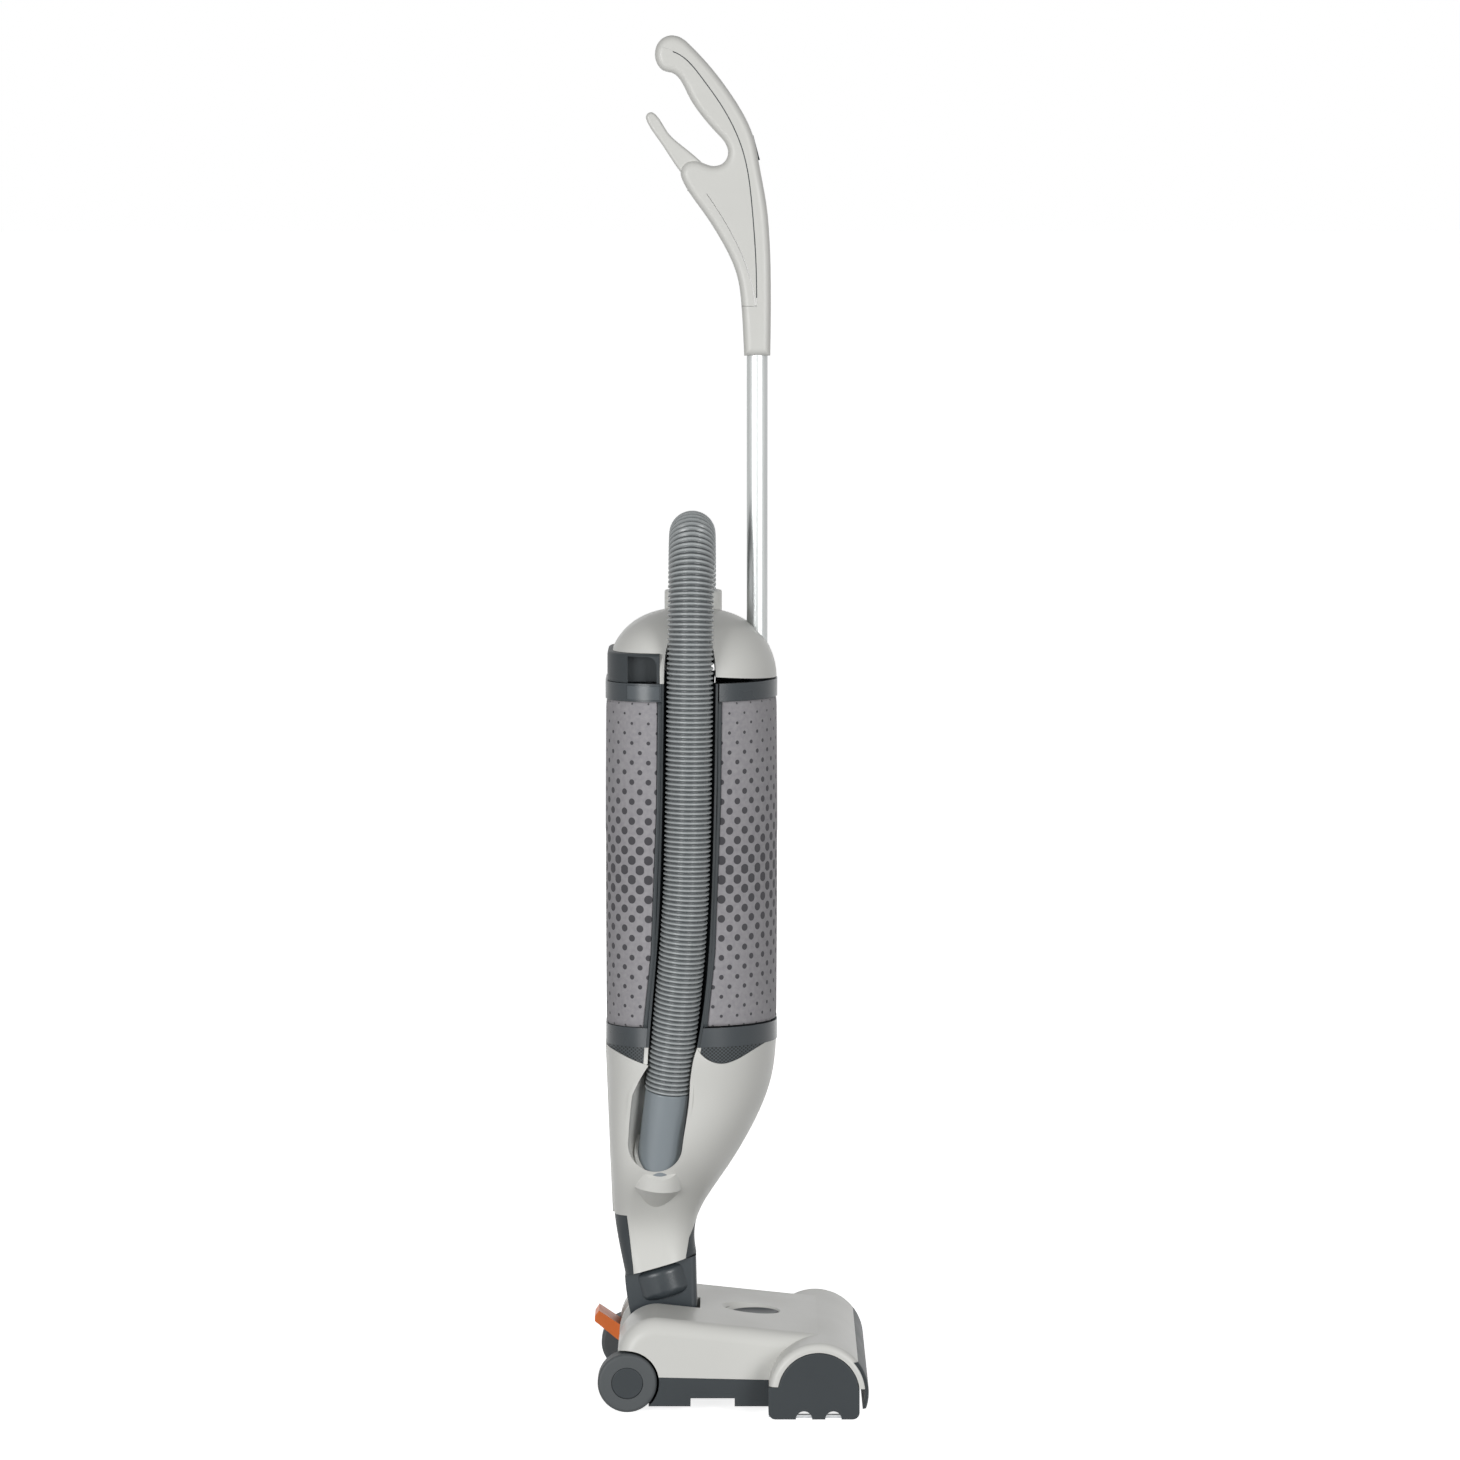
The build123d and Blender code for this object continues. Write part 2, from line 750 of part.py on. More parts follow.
def make_wheel_axles():
    """Two stub axles held in the tray's bosses."""
    outer = wheel_outer_y - hub_cap_thickness - 0.5
    return Compound(children=both_sides(cross_rod(wheel_x, wheel_radius, axle_radius, axle_inner_y, outer)))


def make_height_dial():
    """Turning knob for the brush height, with a finger ridge and a stem."""
    low = deck_top_z(dial_x) - dial_drop - dial_thickness
    disc = post(dial_x, 0, dial_radius, low, low + dial_thickness)
    ridge = block(
        dial_x - 0.8 * dial_radius, dial_x + 0.8 * dial_radius, -dial_grip_width / 2, dial_grip_width / 2,
        low + dial_thickness, low + dial_thickness + dial_grip_height,
    )
    stem = post(dial_x, 0, dial_stem_radius, low - dial_stem_length, low)
    return disc + ridge + stem


def make_release_pedal():
    """Foot tread on a cross pin, sloping up to the rear."""
    run = Vector(pedal_tip_x, pedal_tip_z) - Vector(pedal_pin_x, pedal_pin_z)
    along = run.normalized()
    across = Vector(-along.Y, along.X) * (pedal_thickness / 2)
    root = Vector(pedal_pin_x, pedal_pin_z)
    tip = Vector(pedal_tip_x, pedal_tip_z) + across.normalized() * (-pedal_thickness / 4)
    corners = [root + across, root - across, tip - across * 0.5, tip + across]
    tread = side_slab(side_face(*[(c.X, c.Y) for c in corners]), pedal_low_y, pedal_high_y)
    tread = tread & block(pedal_tip_x, 0, 0, hood_half_width, 0, 2 * deck_rear_z)
    barrel = cross_rod(pedal_pin_x, pedal_pin_z, pedal_thickness / 2, pedal_low_y, pedal_high_y)
    pedal = tread + barrel
    return pedal - cross_rod(
        pedal_pin_x, pedal_pin_z, pedal_pin_radius + pin_clearance, pedal_low_y - 1, pedal_high_y + 1,
    )


def make_pedal_pin():
    """Cross pin of the foot pedal, held in the two ears."""
    return cross_rod(pedal_pin_x, pedal_pin_z, pedal_pin_radius, pedal_low_y - 5, pedal_high_y + 4)


def make_tilt_pins():
    """Two stub pins on which the neck leans back."""
    outer = bracket_inner_y + bracket_thickness
    return Compound(children=both_sides(cross_rod(tilt_x, tilt_z, tilt_pin_radius, tilt_pin_inner_y, outer)))


def swivel_plane(rise):
    """Plane square to the leaning swivel axis, rise above the tilt axis."""
    lean = math.radians(swivel_lean)
    up = Vector(-math.sin(lean), 0, math.cos(lean))
    foot = Vector(swivel_foot_x, 0, tilt_z)
    return Plane(foot + up * rise, x_dir=(math.cos(lean), 0, math.sin(lean)), z_dir=up)


def swivel_rod(radius, low, high):
    """Round bar on the swivel axis between two rises."""
    return swivel_plane((low + high) / 2) * Cylinder(radius, high - low)


def make_neck_elbow():
    """Dark neck: tilt barrel, upright web, swivel drum and spigot, with its air bore."""
    barrel = cross_rod(tilt_x, tilt_z, barrel_radius, -barrel_half_width, barrel_half_width)
    web_face = make_face([
        Line((neck_rear_x + 12, tilt_z), (neck_foot_x, tilt_z)),
        Line((neck_foot_x, tilt_z), (neck_front_x, tilt_z + swivel_height + drum_radius)),
        Line((neck_front_x, tilt_z + swivel_height + drum_radius), (neck_rear_x, tilt_z + swivel_height)),
        ThreePointArc(
            (neck_rear_x, tilt_z + swivel_height),
            (neck_rear_x + 3, tilt_z + 0.5 * swivel_height),
            (neck_rear_x + 12, tilt_z),
        ),
    ])
    web = side_slab(web_face, -neck_half_width, neck_half_width)
    front = [edge for edge in web.edges() if abs(edge.center().Y) > 1 and edge.center().X > tilt_x / 2 - 2]
    web = fillet(front, neck_edge_round)
    web = web & swivel_rod(3 * drum_radius, -drum_height, swivel_height)
    drum = swivel_rod(drum_radius, swivel_height - drum_height, swivel_height)
    drum = fillet(drum.edges(), drum_round)
    low = swivel_height - drum_height
    spigot = swivel_rod(spigot_radius - pin_clearance, low, swivel_height + spigot_height)
    neck = barrel + web + drum + spigot
    neck = neck - swivel_rod(spigot_bore, 0, swivel_height + spigot_height + 1)
    port = Pos(tilt_x + barrel_radius / 2, 0, 32) * Box(barrel_radius + 2, 30, 18)
    neck = neck - port
    for rod in both_sides(
        cross_rod(
            tilt_x, tilt_z, tilt_pin_radius + pin_clearance, tilt_pin_inner_y - 0.5, 2 * barrel_half_width,
        )
    ):
        neck = neck - rod
    return neck


def make_swivel_clip():
    """Split retaining ring on the spigot above the housing's seat."""
    low = swivel_height + spigot_height - 5
    ring = swivel_rod(spigot_radius + 4, low, low + 3)
    ring = ring - swivel_rod(spigot_radius + seat_gap, low - 1, low + 4)
    return ring - swivel_plane(low + 1) * Pos(spigot_radius + 2, 0, 0) * Box(16, 6, 8)


def column_face(z, rear, front, half_width, rear_round):
    """Column section at height z: round in front, squarer behind."""
    face = Pos((rear + front) / 2, 0) * Rectangle(front - rear, 2 * half_width)
    front_round = min(half_width, (front - rear) / 2 + half_width / 4) - 1
    face = fillet(face.vertices().group_by(Axis.X)[-1], front_round)
    rear_room = min(rear_round, front - rear - front_round - 1, half_width - 1)
    face = fillet(face.vertices().group_by(Axis.X)[0], rear_room)
    return Pos(0, 0, z) * face


def body_face(z, inset):
    """Section of the straight body column, drawn in by inset."""
    return column_face(
        z, body_rear_x + inset, body_front_x - inset, body_half_width - inset, body_rear_round - inset,
    )


def body_bar(low_z, high_z, inset):
    """Solid length of the body column."""
    return extrude(body_face(low_z, inset), high_z - low_z)


def body_ring(low_z, high_z, inset, thickness):
    """Hollow length of the body column."""
    return body_bar(low_z, high_z, inset) - body_bar(low_z - 1, high_z + 1, inset + thickness)


def route_radii(points):
    """Largest tangent arc at each corner of a route."""
    radii = []
    for before, corner, after in zip(points, points[1:], points[2:]):
        run_in = Vector(*corner) - Vector(*before)
        run_out = Vector(*after) - Vector(*corner)
        half_turn = math.radians(run_in.get_angle(run_out)) / 2
        shorter = min(run_in.length, run_out.length)
        share = 0.49 if half_turn > 0.5 else 0.45
        radii.append(share * shorter / math.tan(half_turn))
    return radii


def hose_path():
    """Hose centreline: straight runs joined by tangent arcs."""
    return FilletPolyline(*hose_route, radius=route_radii(hose_route))


def channel_bar(radius):
    """Round bar along the hose's long near-side leg."""
    leg = [(hose_route[2][0], hose_route[2][1], hose_arch_z)] + hose_route[3:]
    path = FilletPolyline(*leg, radius=route_radii(leg))
    start = Plane(origin=path @ 0, z_dir=path % 0)
    return sweep(start * Circle(radius), path=path)


def door_region(gap, front):
    """Everything in front of, or behind, the sloping edge of the front door."""
    high = 2 * dome_top_z
    slope = (door_split_top_x - door_split_low_x) / sleeve_height
    top_x = door_split_low_x + slope * (high - ring_top_z) + gap
    low_x = door_split_low_x - slope * ring_top_z + gap
    far_x = 300 if front else -300
    face = side_face((low_x, 0), (top_x, high), (far_x, high), (far_x, 0))
    return side_slab(face, -2 * body_half_width, 2 * body_half_width)


def make_rear_sleeve():
    """Fabric exhaust filter on the fixed rear of the column."""
    sleeve = body_ring(ring_top_z + seat_gap, sleeve_top_z - seat_gap, 0, sleeve_thickness)
    return (sleeve & door_region(-door_gap / 2, False)) - trim_bar(seat_gap)


def trim_bar(grow):
    """Outside of the hose channel's lining, grown by a clearance."""
    return channel_bar(channel_radius + trim_thickness + grow)


def hinge_room(half_width):
    """Notch round the door hinge."""
    return block(
        door_hinge_x - 6, body_front_x + 2, -half_width, half_width, 0, door_hinge_z() + 4,
    )


def door_hinge_z():
    """Height of the door's hinge axis."""
    return ring_top_z + door_hinge_rise


def make_front_sleeve():
    """Fabric exhaust filter carried by the front door."""
    sleeve = body_ring(ring_top_z + door_low_gap, sleeve_top_z - seat_gap, 0, sleeve_thickness)
    sleeve = (sleeve & door_region(door_gap / 2, True)) - trim_bar(door_trim_gap)
    return sleeve - hinge_room(door_knuckle_width / 2 + door_lug_width + 1)


def shell_ring(low_z, high_z):
    """Inner wall of the bag chamber, behind the fabric."""
    return body_ring(low_z, high_z, sleeve_thickness + seat_gap, shell_thickness)


def make_chamber_shell():
    """Fixed rear wall of the bag chamber."""
    shell = shell_ring(ring_top_z + seat_gap, sleeve_top_z - seat_gap)
    return (shell & door_region(-door_gap / 2, False)) - trim_bar(seat_gap)


def make_door_shell():
    """Front door of the bag chamber with its hinge knuckle."""
    shell = shell_ring(ring_top_z + door_low_gap, sleeve_top_z - seat_gap)
    shell = (shell & door_region(door_gap / 2, True)) - trim_bar(door_trim_gap)
    shell = shell - hinge_room(door_knuckle_width / 2 + door_lug_width + 1)
    knuckle = cross_rod(
        door_hinge_x, door_hinge_z(), 2 * door_pin_radius - 0.6,
        -door_knuckle_width / 2, door_knuckle_width / 2,
    )
    inner_x = body_front_x - sleeve_thickness - shell_thickness - seat_gap
    arm = block(
        inner_x, door_hinge_x, -door_knuckle_width / 2, door_knuckle_width / 2,
        door_hinge_z() - 1, door_hinge_z() + 2 * door_pin_radius - 0.6,
    )
    web = block(
        inner_x, inner_x + shell_thickness - 0.5, -door_knuckle_width / 2, door_knuckle_width / 2,
        door_hinge_z() - 1, door_hinge_z() + 8,
    )
    bore = cross_rod(
        door_hinge_x, door_hinge_z(), door_pin_radius + pin_clearance, -body_half_width, body_half_width,
    )
    return shell + knuckle + arm + web - bore


def make_door_pin():
    """Hinge pin of the front door, held in the ring's two lugs."""
    half = door_knuckle_width / 2 + door_lug_width
    return cross_rod(door_hinge_x, door_hinge_z(), door_pin_radius, -half, half)


def make_bottom_ring():
    """Dark band under the fabric, with the lugs of the door hinge."""
    ring = body_ring(housing_top_z + seat_gap, ring_top_z, -ring_proud, sleeve_thickness + shell_thickness)
    ring = ring - trim_bar(seat_gap)
    lug = block(
        door_hinge_x - 2.2, door_hinge_x + 2.2, door_knuckle_width / 2 + 0.3,
        door_knuckle_width / 2 + door_lug_width, ring_top_z - 2, door_hinge_z() + 2.2,
    )
    for one in both_sides(lug):
        ring = ring + one
    return ring - cross_rod(door_hinge_x, door_hinge_z(), door_pin_radius, -body_half_width, body_half_width)


def make_top_ring():
    """Dark band above the fabric on the fixed rear, with the window's seat."""
    ring = body_ring(sleeve_top_z, dome_low_z - seat_gap, -ring_proud, sleeve_thickness + shell_thickness)
    ring = (ring & door_region(-door_gap / 2, False)) - trim_bar(seat_gap)
    band = body_ring(sleeve_top_z, dome_low_z, -ring_proud - 1, window_depth + 1 + seat_gap)
    return ring - (band & window_block(seat_gap))


def make_door_band():
    """Dark band that closes the top of the front door."""
    ring = body_ring(sleeve_top_z, dome_low_z - seat_gap, -ring_proud, sleeve_thickness + shell_thickness)
    return (ring & door_region(door_gap / 2, True)) - trim_bar(door_trim_gap)


def window_block(grow):
    """Bar in which the bag indicator's window sits, on the near side."""
    return block(
        window_x - window_length / 2 - grow, window_x + window_length / 2 + grow,
        -2 * body_half_width, -body_half_width / 2,
        sleeve_top_z + 1.5 - grow, dome_low_z - 2.0 + grow,
    )


def make_bag_window():
    """Glossy window of the bag indicator, flush in the upper band."""
    band = body_ring(sleeve_top_z, dome_low_z, -ring_proud, window_depth)
    return band & window_block(0)


def dome_solid(inset):
    """Round-topped lid over the column, drawn in by inset."""
    faces = []
    for share in (0.0, 0.25, 0.5, 0.7, 0.85, 0.95, 0.99):
        scale_now = (1 - share * share) ** 0.4 - inset / body_half_depth
        z = dome_low_z + share * (dome_height - inset)
        faces.append(column_face(
            z, body_mid_x - body_half_depth * scale_now, body_mid_x + body_half_depth * scale_now,
            body_half_width * scale_now, body_rear_round * scale_now,
        ))
    return loft(faces)


def make_dome_cover():
    """Light domed lid with holes for hose and tube and the carry grip's recess."""
    dome = dome_solid(0) - dome_solid(wall) - block(-300, 300, -300, 300, 0, dome_low_z)
    high = dome_top_z + 20
    dome = dome - post(hose_socket_x, hose_socket_y, hose_socket_radius + seat_gap, dome_low_z, high)
    dome = dome - post(tube_x, 0, tube_radius + skin_gap, 0, high)
    dome = dome - grip_recess(seat_gap)
    wedge = side_face(
        (door_split_top_x - 3, dome_low_z - 1),
        (door_split_top_x - 3, dome_low_z + wedge_height),
        (body_front_x + 2, dome_low_z + 1),
        (body_front_x + 2, dome_low_z - 1),
    )
    dome = dome - side_slab(wedge, -2 * body_half_width, 2 * body_half_width)
    return dome - channel_bar(channel_radius)


def grip_recess(grow):
    """Room of the carry grip at the lid's rear."""
    return block(
        -300, carry_front_x + grow, -2 * body_half_width, 2 * body_half_width,
        dome_low_z - 1, carry_top_z + grow,
    )


def make_carry_grip():
    """Dark carry grip: rear bar and roof round two finger pockets."""
    form = body_bar(dome_low_z + seat_gap, carry_top_z, 1.0)
    form = form & block(-300, carry_front_x, -300, 300, 0, 2 * dome_top_z)
    rim = [edge for edge in form.edges().group_by(Axis.Z)[-1] if edge.center().X < carry_front_x - seat_gap]
    form = fillet(rim, carry_round)
    pocket = block(
        body_rear_x + carry_bar_depth, carry_front_x - 2.5, carry_web_half_width, 2 * body_half_width,
        dome_low_z - 1, carry_top_z - 2.5,
    )
    corner = pocket.edges().filter_by(Axis.Y).sort_by(lambda edge: edge.center().X + edge.center().Z)[-1]
    pocket = fillet(corner, carry_pocket_round)
    for one in both_sides(pocket):
        form = form - one
    return form


def make_lid_seal():
    """Rubber seal round the inside of the lid's edge."""
    low = dome_low_z + wedge_height + 0.5
    seal = body_ring(low, low + 6, wall + 2.0, 2.0)
    return seal - grip_recess(1) - channel_bar(channel_radius + 1)


def make_top_deck():
    """Plate over the bag chamber with the tube's socket and the bag's collar."""
    low = sleeve_top_z + 2
    plate = body_bar(low, low + wall, sleeve_thickness + shell_thickness + seat_gap)
    socket = post(tube_x, 0, tube_radius + tube_socket_wall, tube_low_z - 3, low + 24)
    flat_x = body_front_x - sleeve_thickness - shell_thickness - seat_gap - 0.5
    socket = socket & block(-300, flat_x, -300, 300, 0, 2 * low)
    collar = post(hose_socket_x, hose_socket_y - 20, 24, bag_high_z, low)
    collar = collar - post(hose_socket_x, hose_socket_y - 20, 19, bag_high_z - 1, low + 1)
    bore = post(tube_x, 0, tube_radius + pin_clearance, tube_low_z, 2 * low)
    return plate + socket + collar - bore - trim_bar(seat_gap)


def make_channel_trim():
    """Dark lining of the hose channel up the near side."""
    lining = channel_bar(channel_radius + trim_thickness) - channel_bar(channel_radius)
    column = body_bar(housing_top_z + seat_gap, dome_low_z - seat_gap, -ring_proud)
    return lining & column


def housing_share(z):
    """0 at the neck seam, 1 at the housing's top edge."""
    return (z - neck_seam_z) / (housing_top_z - neck_seam_z)


def housing_face(z, inset):
    """Section of the lower housing, sweeping in to the neck."""
    share = max(0.0, housing_share(z))
    below = max(0.0, (neck_seam_z - z) / (neck_seam_z - tilt_z))
    bend = math.sin(math.pi / 2 * share)
    spread = math.sin(math.pi / 2 * min(1.0, 2.4 * share))
    front = neck_seam_front_x + (body_front_x - neck_seam_front_x) * bend
    rear = neck_seam_rear_x + (body_rear_x - neck_seam_rear_x) * share + 19 * below
    half_width = neck_seam_half_width + (body_half_width - neck_seam_half_width) * spread - 12 * below
    rear_round = 16 + (body_rear_round - 16) * share
    return column_face(z, rear + inset, front - inset, half_width - inset, rear_round - inset)


def housing_solid(low_z, inset):
    """Solid form of the lower housing down to low_z."""
    span = housing_top_z - low_z
    faces = [housing_face(low_z + span * step / 7, inset) for step in range(8)]
    return loft(faces)


def cuff_plane(along):
    """Plane square to the cuff, at a distance below the hose's end."""
    end = Vector(*hose_route[-1])
    down = (end - Vector(*hose_route[-2])).normalized()
    return Plane(end + down * along, x_dir=(1, 0, 0), z_dir=down)


def cuff_rod(radius, low, high):
    """Round bar on the cuff's axis between two distances below the hose's end."""
    return cuff_plane((low + high) / 2) * Cylinder(radius, high - low)


def make_hose_cuff():
    """Plain cuff that plugs the hose into the lower housing."""
    cuff = cuff_rod(cuff_radius, 0, cuff_length)
    cuff = fillet(cuff.edges(), 1.2)
    return cuff - cuff_rod(cuff_bore_radius, -1, cuff_length + 1)


def neck_rear_region(gap):
    """Side-view region of the dark rear cover of the neck."""
    face = side_face(
        (-300, neck_seam_z - gap), (-89.6 - gap, neck_seam_z - gap), (-84.4 - gap, 113), (-80 - gap, 60),
        (-300, 60),
    )
    return side_slab(face, -200, 200)


def neck_front_region(gap):
    """Side-view region of the dark front cover of the neck."""
    face = side_face(
        (neck_seam_front_x + 3, neck_seam_z - 1 - gap), (-35.7 + gap, 136.6), (-38.5 + gap, 120),
        (-40 + gap, 60), (300, 60), (300, neck_seam_z - 1 - gap),
    )
    return side_slab(face, -200, 200)


def neck_skirt():
    """Solid form of the housing above the swivel plane."""
    form = housing_solid(tilt_z + 40, 0)
    above = swivel_rod(400, swivel_height + swivel_gap, 600)
    form = form & above
    form = form - swivel_rod(spigot_radius, 0, 300)
    return form - swivel_rod(spigot_radius + 6, swivel_height + spigot_height - 7, 300)


def make_rear_neck_cover(skirt):
    """Dark cover behind the housing's tongue."""
    return skirt & neck_rear_region(seat_gap)


def make_front_neck_cover(skirt):
    """Dark cover in front of the housing's tongue."""
    return skirt & neck_front_region(seat_gap)


def scallop(*points):
    """Side-view face under a curved lower edge."""
    edge = Spline(*points)
    return side_slab(make_face([edge, Line(edge @ 1, edge @ 0)]), -200, 200)


def grille_region(grow):
    """Side-view scallops of the exhaust grille under the lower band."""
    top = housing_top_z + 1
    front = scallop(
        (-29 - grow, top), (-22 - grow, top - 9 - grow), (-9, top - 15 - grow),
        (13, top - 9 - grow), (50, top),
    )
    rear = scallop(
        (-120, top), (-98, top - 6 - grow), (-74, top - 15 - grow),
        (-58 + grow, top - 17 - grow), (-50 + grow, top),
    )
    return front + rear


def make_lower_housing(skirt):
    """Light tapering housing with the cuff's socket and a tongue over the neck."""
    hollow = housing_solid(neck_seam_z + 14, wall) & block(-300, 300, -300, 300, neck_seam_z + 14, 400)
    form = housing_solid(neck_seam_z, 0)
    liner = cuff_rod(cuff_radius + skin_gap + socket_wall, 0, cuff_length)
    liner = (liner + cuff_scoop(socket_wall) + trough_bar(0)) & form
    shelf = hollow & block(-300, 300, -300, 300, motor_low_z + 1, motor_low_z + 5)
    shelf = shelf - post(motor_x, motor_y, motor_radius + 1, 0, 400)
    housing = skirt - hollow - grille_region(seat_gap) + shelf + liner
    housing = housing - cuff_scoop(0) + cuff_boss()
    housing = housing - cuff_rod(cuff_radius + skin_gap, -1, cuff_length) - channel_bar(channel_radius)
    return housing - neck_rear_region(0) - neck_front_region(0)


def trough_bar(grow):
    """Outside of the hose's trough in the lower housing, grown by a clearance."""
    return channel_bar(channel_radius + socket_wall + grow)


def cuff_scoop(grow):
    """Long oval scoop round the visible part of the cuff."""
    radius = cuff_radius + scoop_spread + grow
    shift = Pos(-scoop_rear_shift, -scoop_near_shift, 0)
    high = scoop_taper - scoop_rise
    narrow = cuff_plane(-scoop_rise) * Circle(cuff_radius + grow)
    wide = cuff_plane(high) * Circle(radius)
    taper = loft([narrow, shift * wide])
    bowl = cuff_rod(radius, high, scoop_length)
    end = cuff_plane(scoop_length) * Sphere(radius)
    return taper + shift * bowl + shift * end


def cuff_boss():
    """Boss that takes the cuff's foot, with a slanting lip and a chin drawn into the housing."""
    radius = cuff_radius + skin_gap + socket_wall
    depth = cuff_length + boss_floor
    tip = cuff_plane(depth + boss_taper) * Circle(boss_tip_radius)
    chin = loft([cuff_plane(depth) * Circle(radius), Pos(0, boss_sink, 0) * tip])
    boss = cuff_rod(radius, 0, depth) + chin
    size = 4 * cuff_length
    below = cuff_plane(lip_side_depth) * Rot(X=lip_slope) * Pos(0, 0, size / 2) * Box(size, size, size)
    return boss & below


def make_exhaust_grille():
    """Dark scalloped outlet under the lower band."""
    shell = housing_solid(housing_top_z - 40, 0) - housing_solid(housing_top_z - 41, wall)
    return (shell & grille_region(0)) - trough_bar(seat_gap)


def make_suction_motor():
    """Vertical suction motor can, bored for the fan shaft."""
    can = post(motor_x, motor_y, motor_radius, motor_low_z, motor_high_z)
    can = chamfer(can.edges(), 3)
    return can - post(motor_x, motor_y, fan_shaft_radius + pin_clearance, motor_low_z + 6, motor_high_z + 1)


def make_motor_mounts():
    """Two rubber rings that hold the motor in the housing."""
    rings = []
    for low in (motor_low_z + 6, motor_high_z - 6 - mount_height):
        ring = post(motor_x, motor_y, motor_radius + 6, low, low + mount_height)
        rings.append(ring - post(motor_x, motor_y, motor_radius + seat_gap, low - 1, low + mount_height + 1))
    return Compound(children=rings)


def fan_low_z():
    """Underside of the fan."""
    return motor_high_z + fan_case_wall + 1.5


def make_fan_impeller():
    """Fan wheel with curved-back blades on its shaft."""
    low = fan_low_z()
    plate = post(motor_x, motor_y, fan_radius, low, low + 2)
    fan = plate + post(motor_x, motor_y, 8, low, low + fan_height)
    for number in range(fan_blade_count):
        place = Pos(fan_radius / 2 + 3, 0, low + fan_height / 2)
        blade = place * Rot(Z=30) * Box(fan_radius - 8, 1.6, fan_height)
        fan = fan + Pos(motor_x, motor_y, 0) * Rot(Z=360 * number / fan_blade_count) * blade
    fan = fan & post(motor_x, motor_y, fan_radius, 0, 600)
    return fan + post(motor_x, motor_y, fan_shaft_radius, motor_low_z + 8, low + fan_height)


def make_fan_case():
    """Cup round the fan, standing on the motor."""
    low = motor_high_z + seat_gap
    high = fan_low_z() + fan_height + 2
    case = post(motor_x, motor_y, fan_radius + fan_case_wall + 1.5, low, high + fan_case_wall)
    room = post(motor_x, motor_y, fan_radius + 1.5, low + fan_case_wall, high)
    eye = post(motor_x, motor_y, 18, high - 1, high + fan_case_wall + 1)
    return case - room - eye - post(motor_x, motor_y, fan_shaft_radius + 1, low - 1, low + fan_case_wall + 1)


def chamber_floor_z():
    """Underside of the bag chamber's floor."""
    return ring_top_z + 5


def make_chamber_floor():
    """Perforated floor of the bag chamber over the fan."""
    low = chamber_floor_z()
    floor = body_bar(low, low + wall, sleeve_thickness + shell_thickness + 0.8) - trim_bar(seat_gap)
    for row in range(-2, 3):
        for column in range(-2, 3):
            floor = floor - post(motor_x + 12 * row, motor_y + 12 * column, 4, low - 1, low + wall + 1)
    return floor


def make_motor_filter():
    """Flat filter pad on the chamber floor."""
    low = chamber_floor_z() + wall
    pad = block(motor_x - 36, motor_x + 36, motor_y - 36, motor_y + 36, low, low + filter_thickness)
    return fillet(pad.edges().filter_by(Axis.Z), 6)


def make_dust_bag():
    """Filled paper dust bag hanging under the top deck."""
    bag = body_bar(bag_low_z, bag_high_z, bag_inset)
    bag = bag - trim_bar(4) - post(tube_x, 0, tube_radius + tube_socket_wall + 3, 0, 1000)
    return bag


def make_hose_socket():
    """Collar on the lid that takes the hose's upper end."""
    collar = post(hose_socket_x, hose_socket_y, hose_socket_radius, hose_socket_low_z, hose_socket_high_z)
    collar = fillet(collar.edges().group_by(Axis.Z)[-1], 1.5)
    bore = post(hose_socket_x, hose_socket_y, hose_radius + skin_gap, hose_start_z, hose_socket_high_z + 1)
    throat = post(hose_socket_x, hose_socket_y, hose_bore_radius, 0, hose_start_z + 1)
    return collar - bore - throat


def section(path, place, radius):
    """Circle across the hose at a share of its length, with a steady X axis."""
    return Plane(origin=path @ place, x_dir=(1, 0, 0), z_dir=path % place) * Circle(radius)


def make_hose():
    """Ribbed hose with its bore; prints its length, radii and rib count."""
    path = hose_path()
    length = path.length
    count = int(length / rib_pitch)
    pitch = length / count
    half_crest = rib_crest / 2
    outer = []
    for number in range(count):
        middle = (number + 0.5) * pitch
        for shift, radius in (
            (-half_crest - rib_slope, hose_valley_radius),
            (-half_crest, hose_radius),
            (half_crest, hose_radius),
            (half_crest + rib_slope, hose_valley_radius),
        ):
            outer.append(section(path, (middle + shift) / length, radius))
    outer = [section(path, 0, hose_valley_radius)] + outer + [section(path, 1, hose_valley_radius)]
    steps = 60
    bore = [section(path, step / steps, hose_bore_radius) for step in range(steps + 1)]
    hose = loft(outer, ruled=True) - loft(bore, ruled=True)
    radii = [round(radius, 1) for radius in route_radii(hose_route)]
    print("hose length", round(length, 1), "ribs", count, "bend radii", radii)
    return hose


def make_handle_tube():
    """Bright metal handle tube."""
    tube = post(tube_x, 0, tube_radius, tube_low_z, tube_high_z)
    return tube - post(tube_x, 0, tube_radius - tube_wall, tube_low_z - 1, tube_high_z + 1)


def grip_point(point, shift=0.0):
    """Side-view place of a grip point, moved back and down by shift."""
    return point[0] - shift, grip_low_z + point[1] - shift


def grip_plate(points, half_width, round_radius):
    """Plate inside a side outline, closed by a straight edge, with rounded rims."""
    outline = Spline(*[grip_point(point) for point in points])
    face = make_face([outline, Line(outline @ 1, outline @ 0)])
    plate = side_slab(face, -half_width, half_width)
    rims = plate.edges().group_by(Axis.Y)
    return fillet(rims[0] + rims[-1], round_radius)


def grip_form():
    """Whole grip: socket, web and handle in one plate, and the hook prong."""
    body = grip_plate(grip_outline, grip_half_width, grip_round)
    return body + grip_plate(prong_outline, prong_half_width, prong_round)


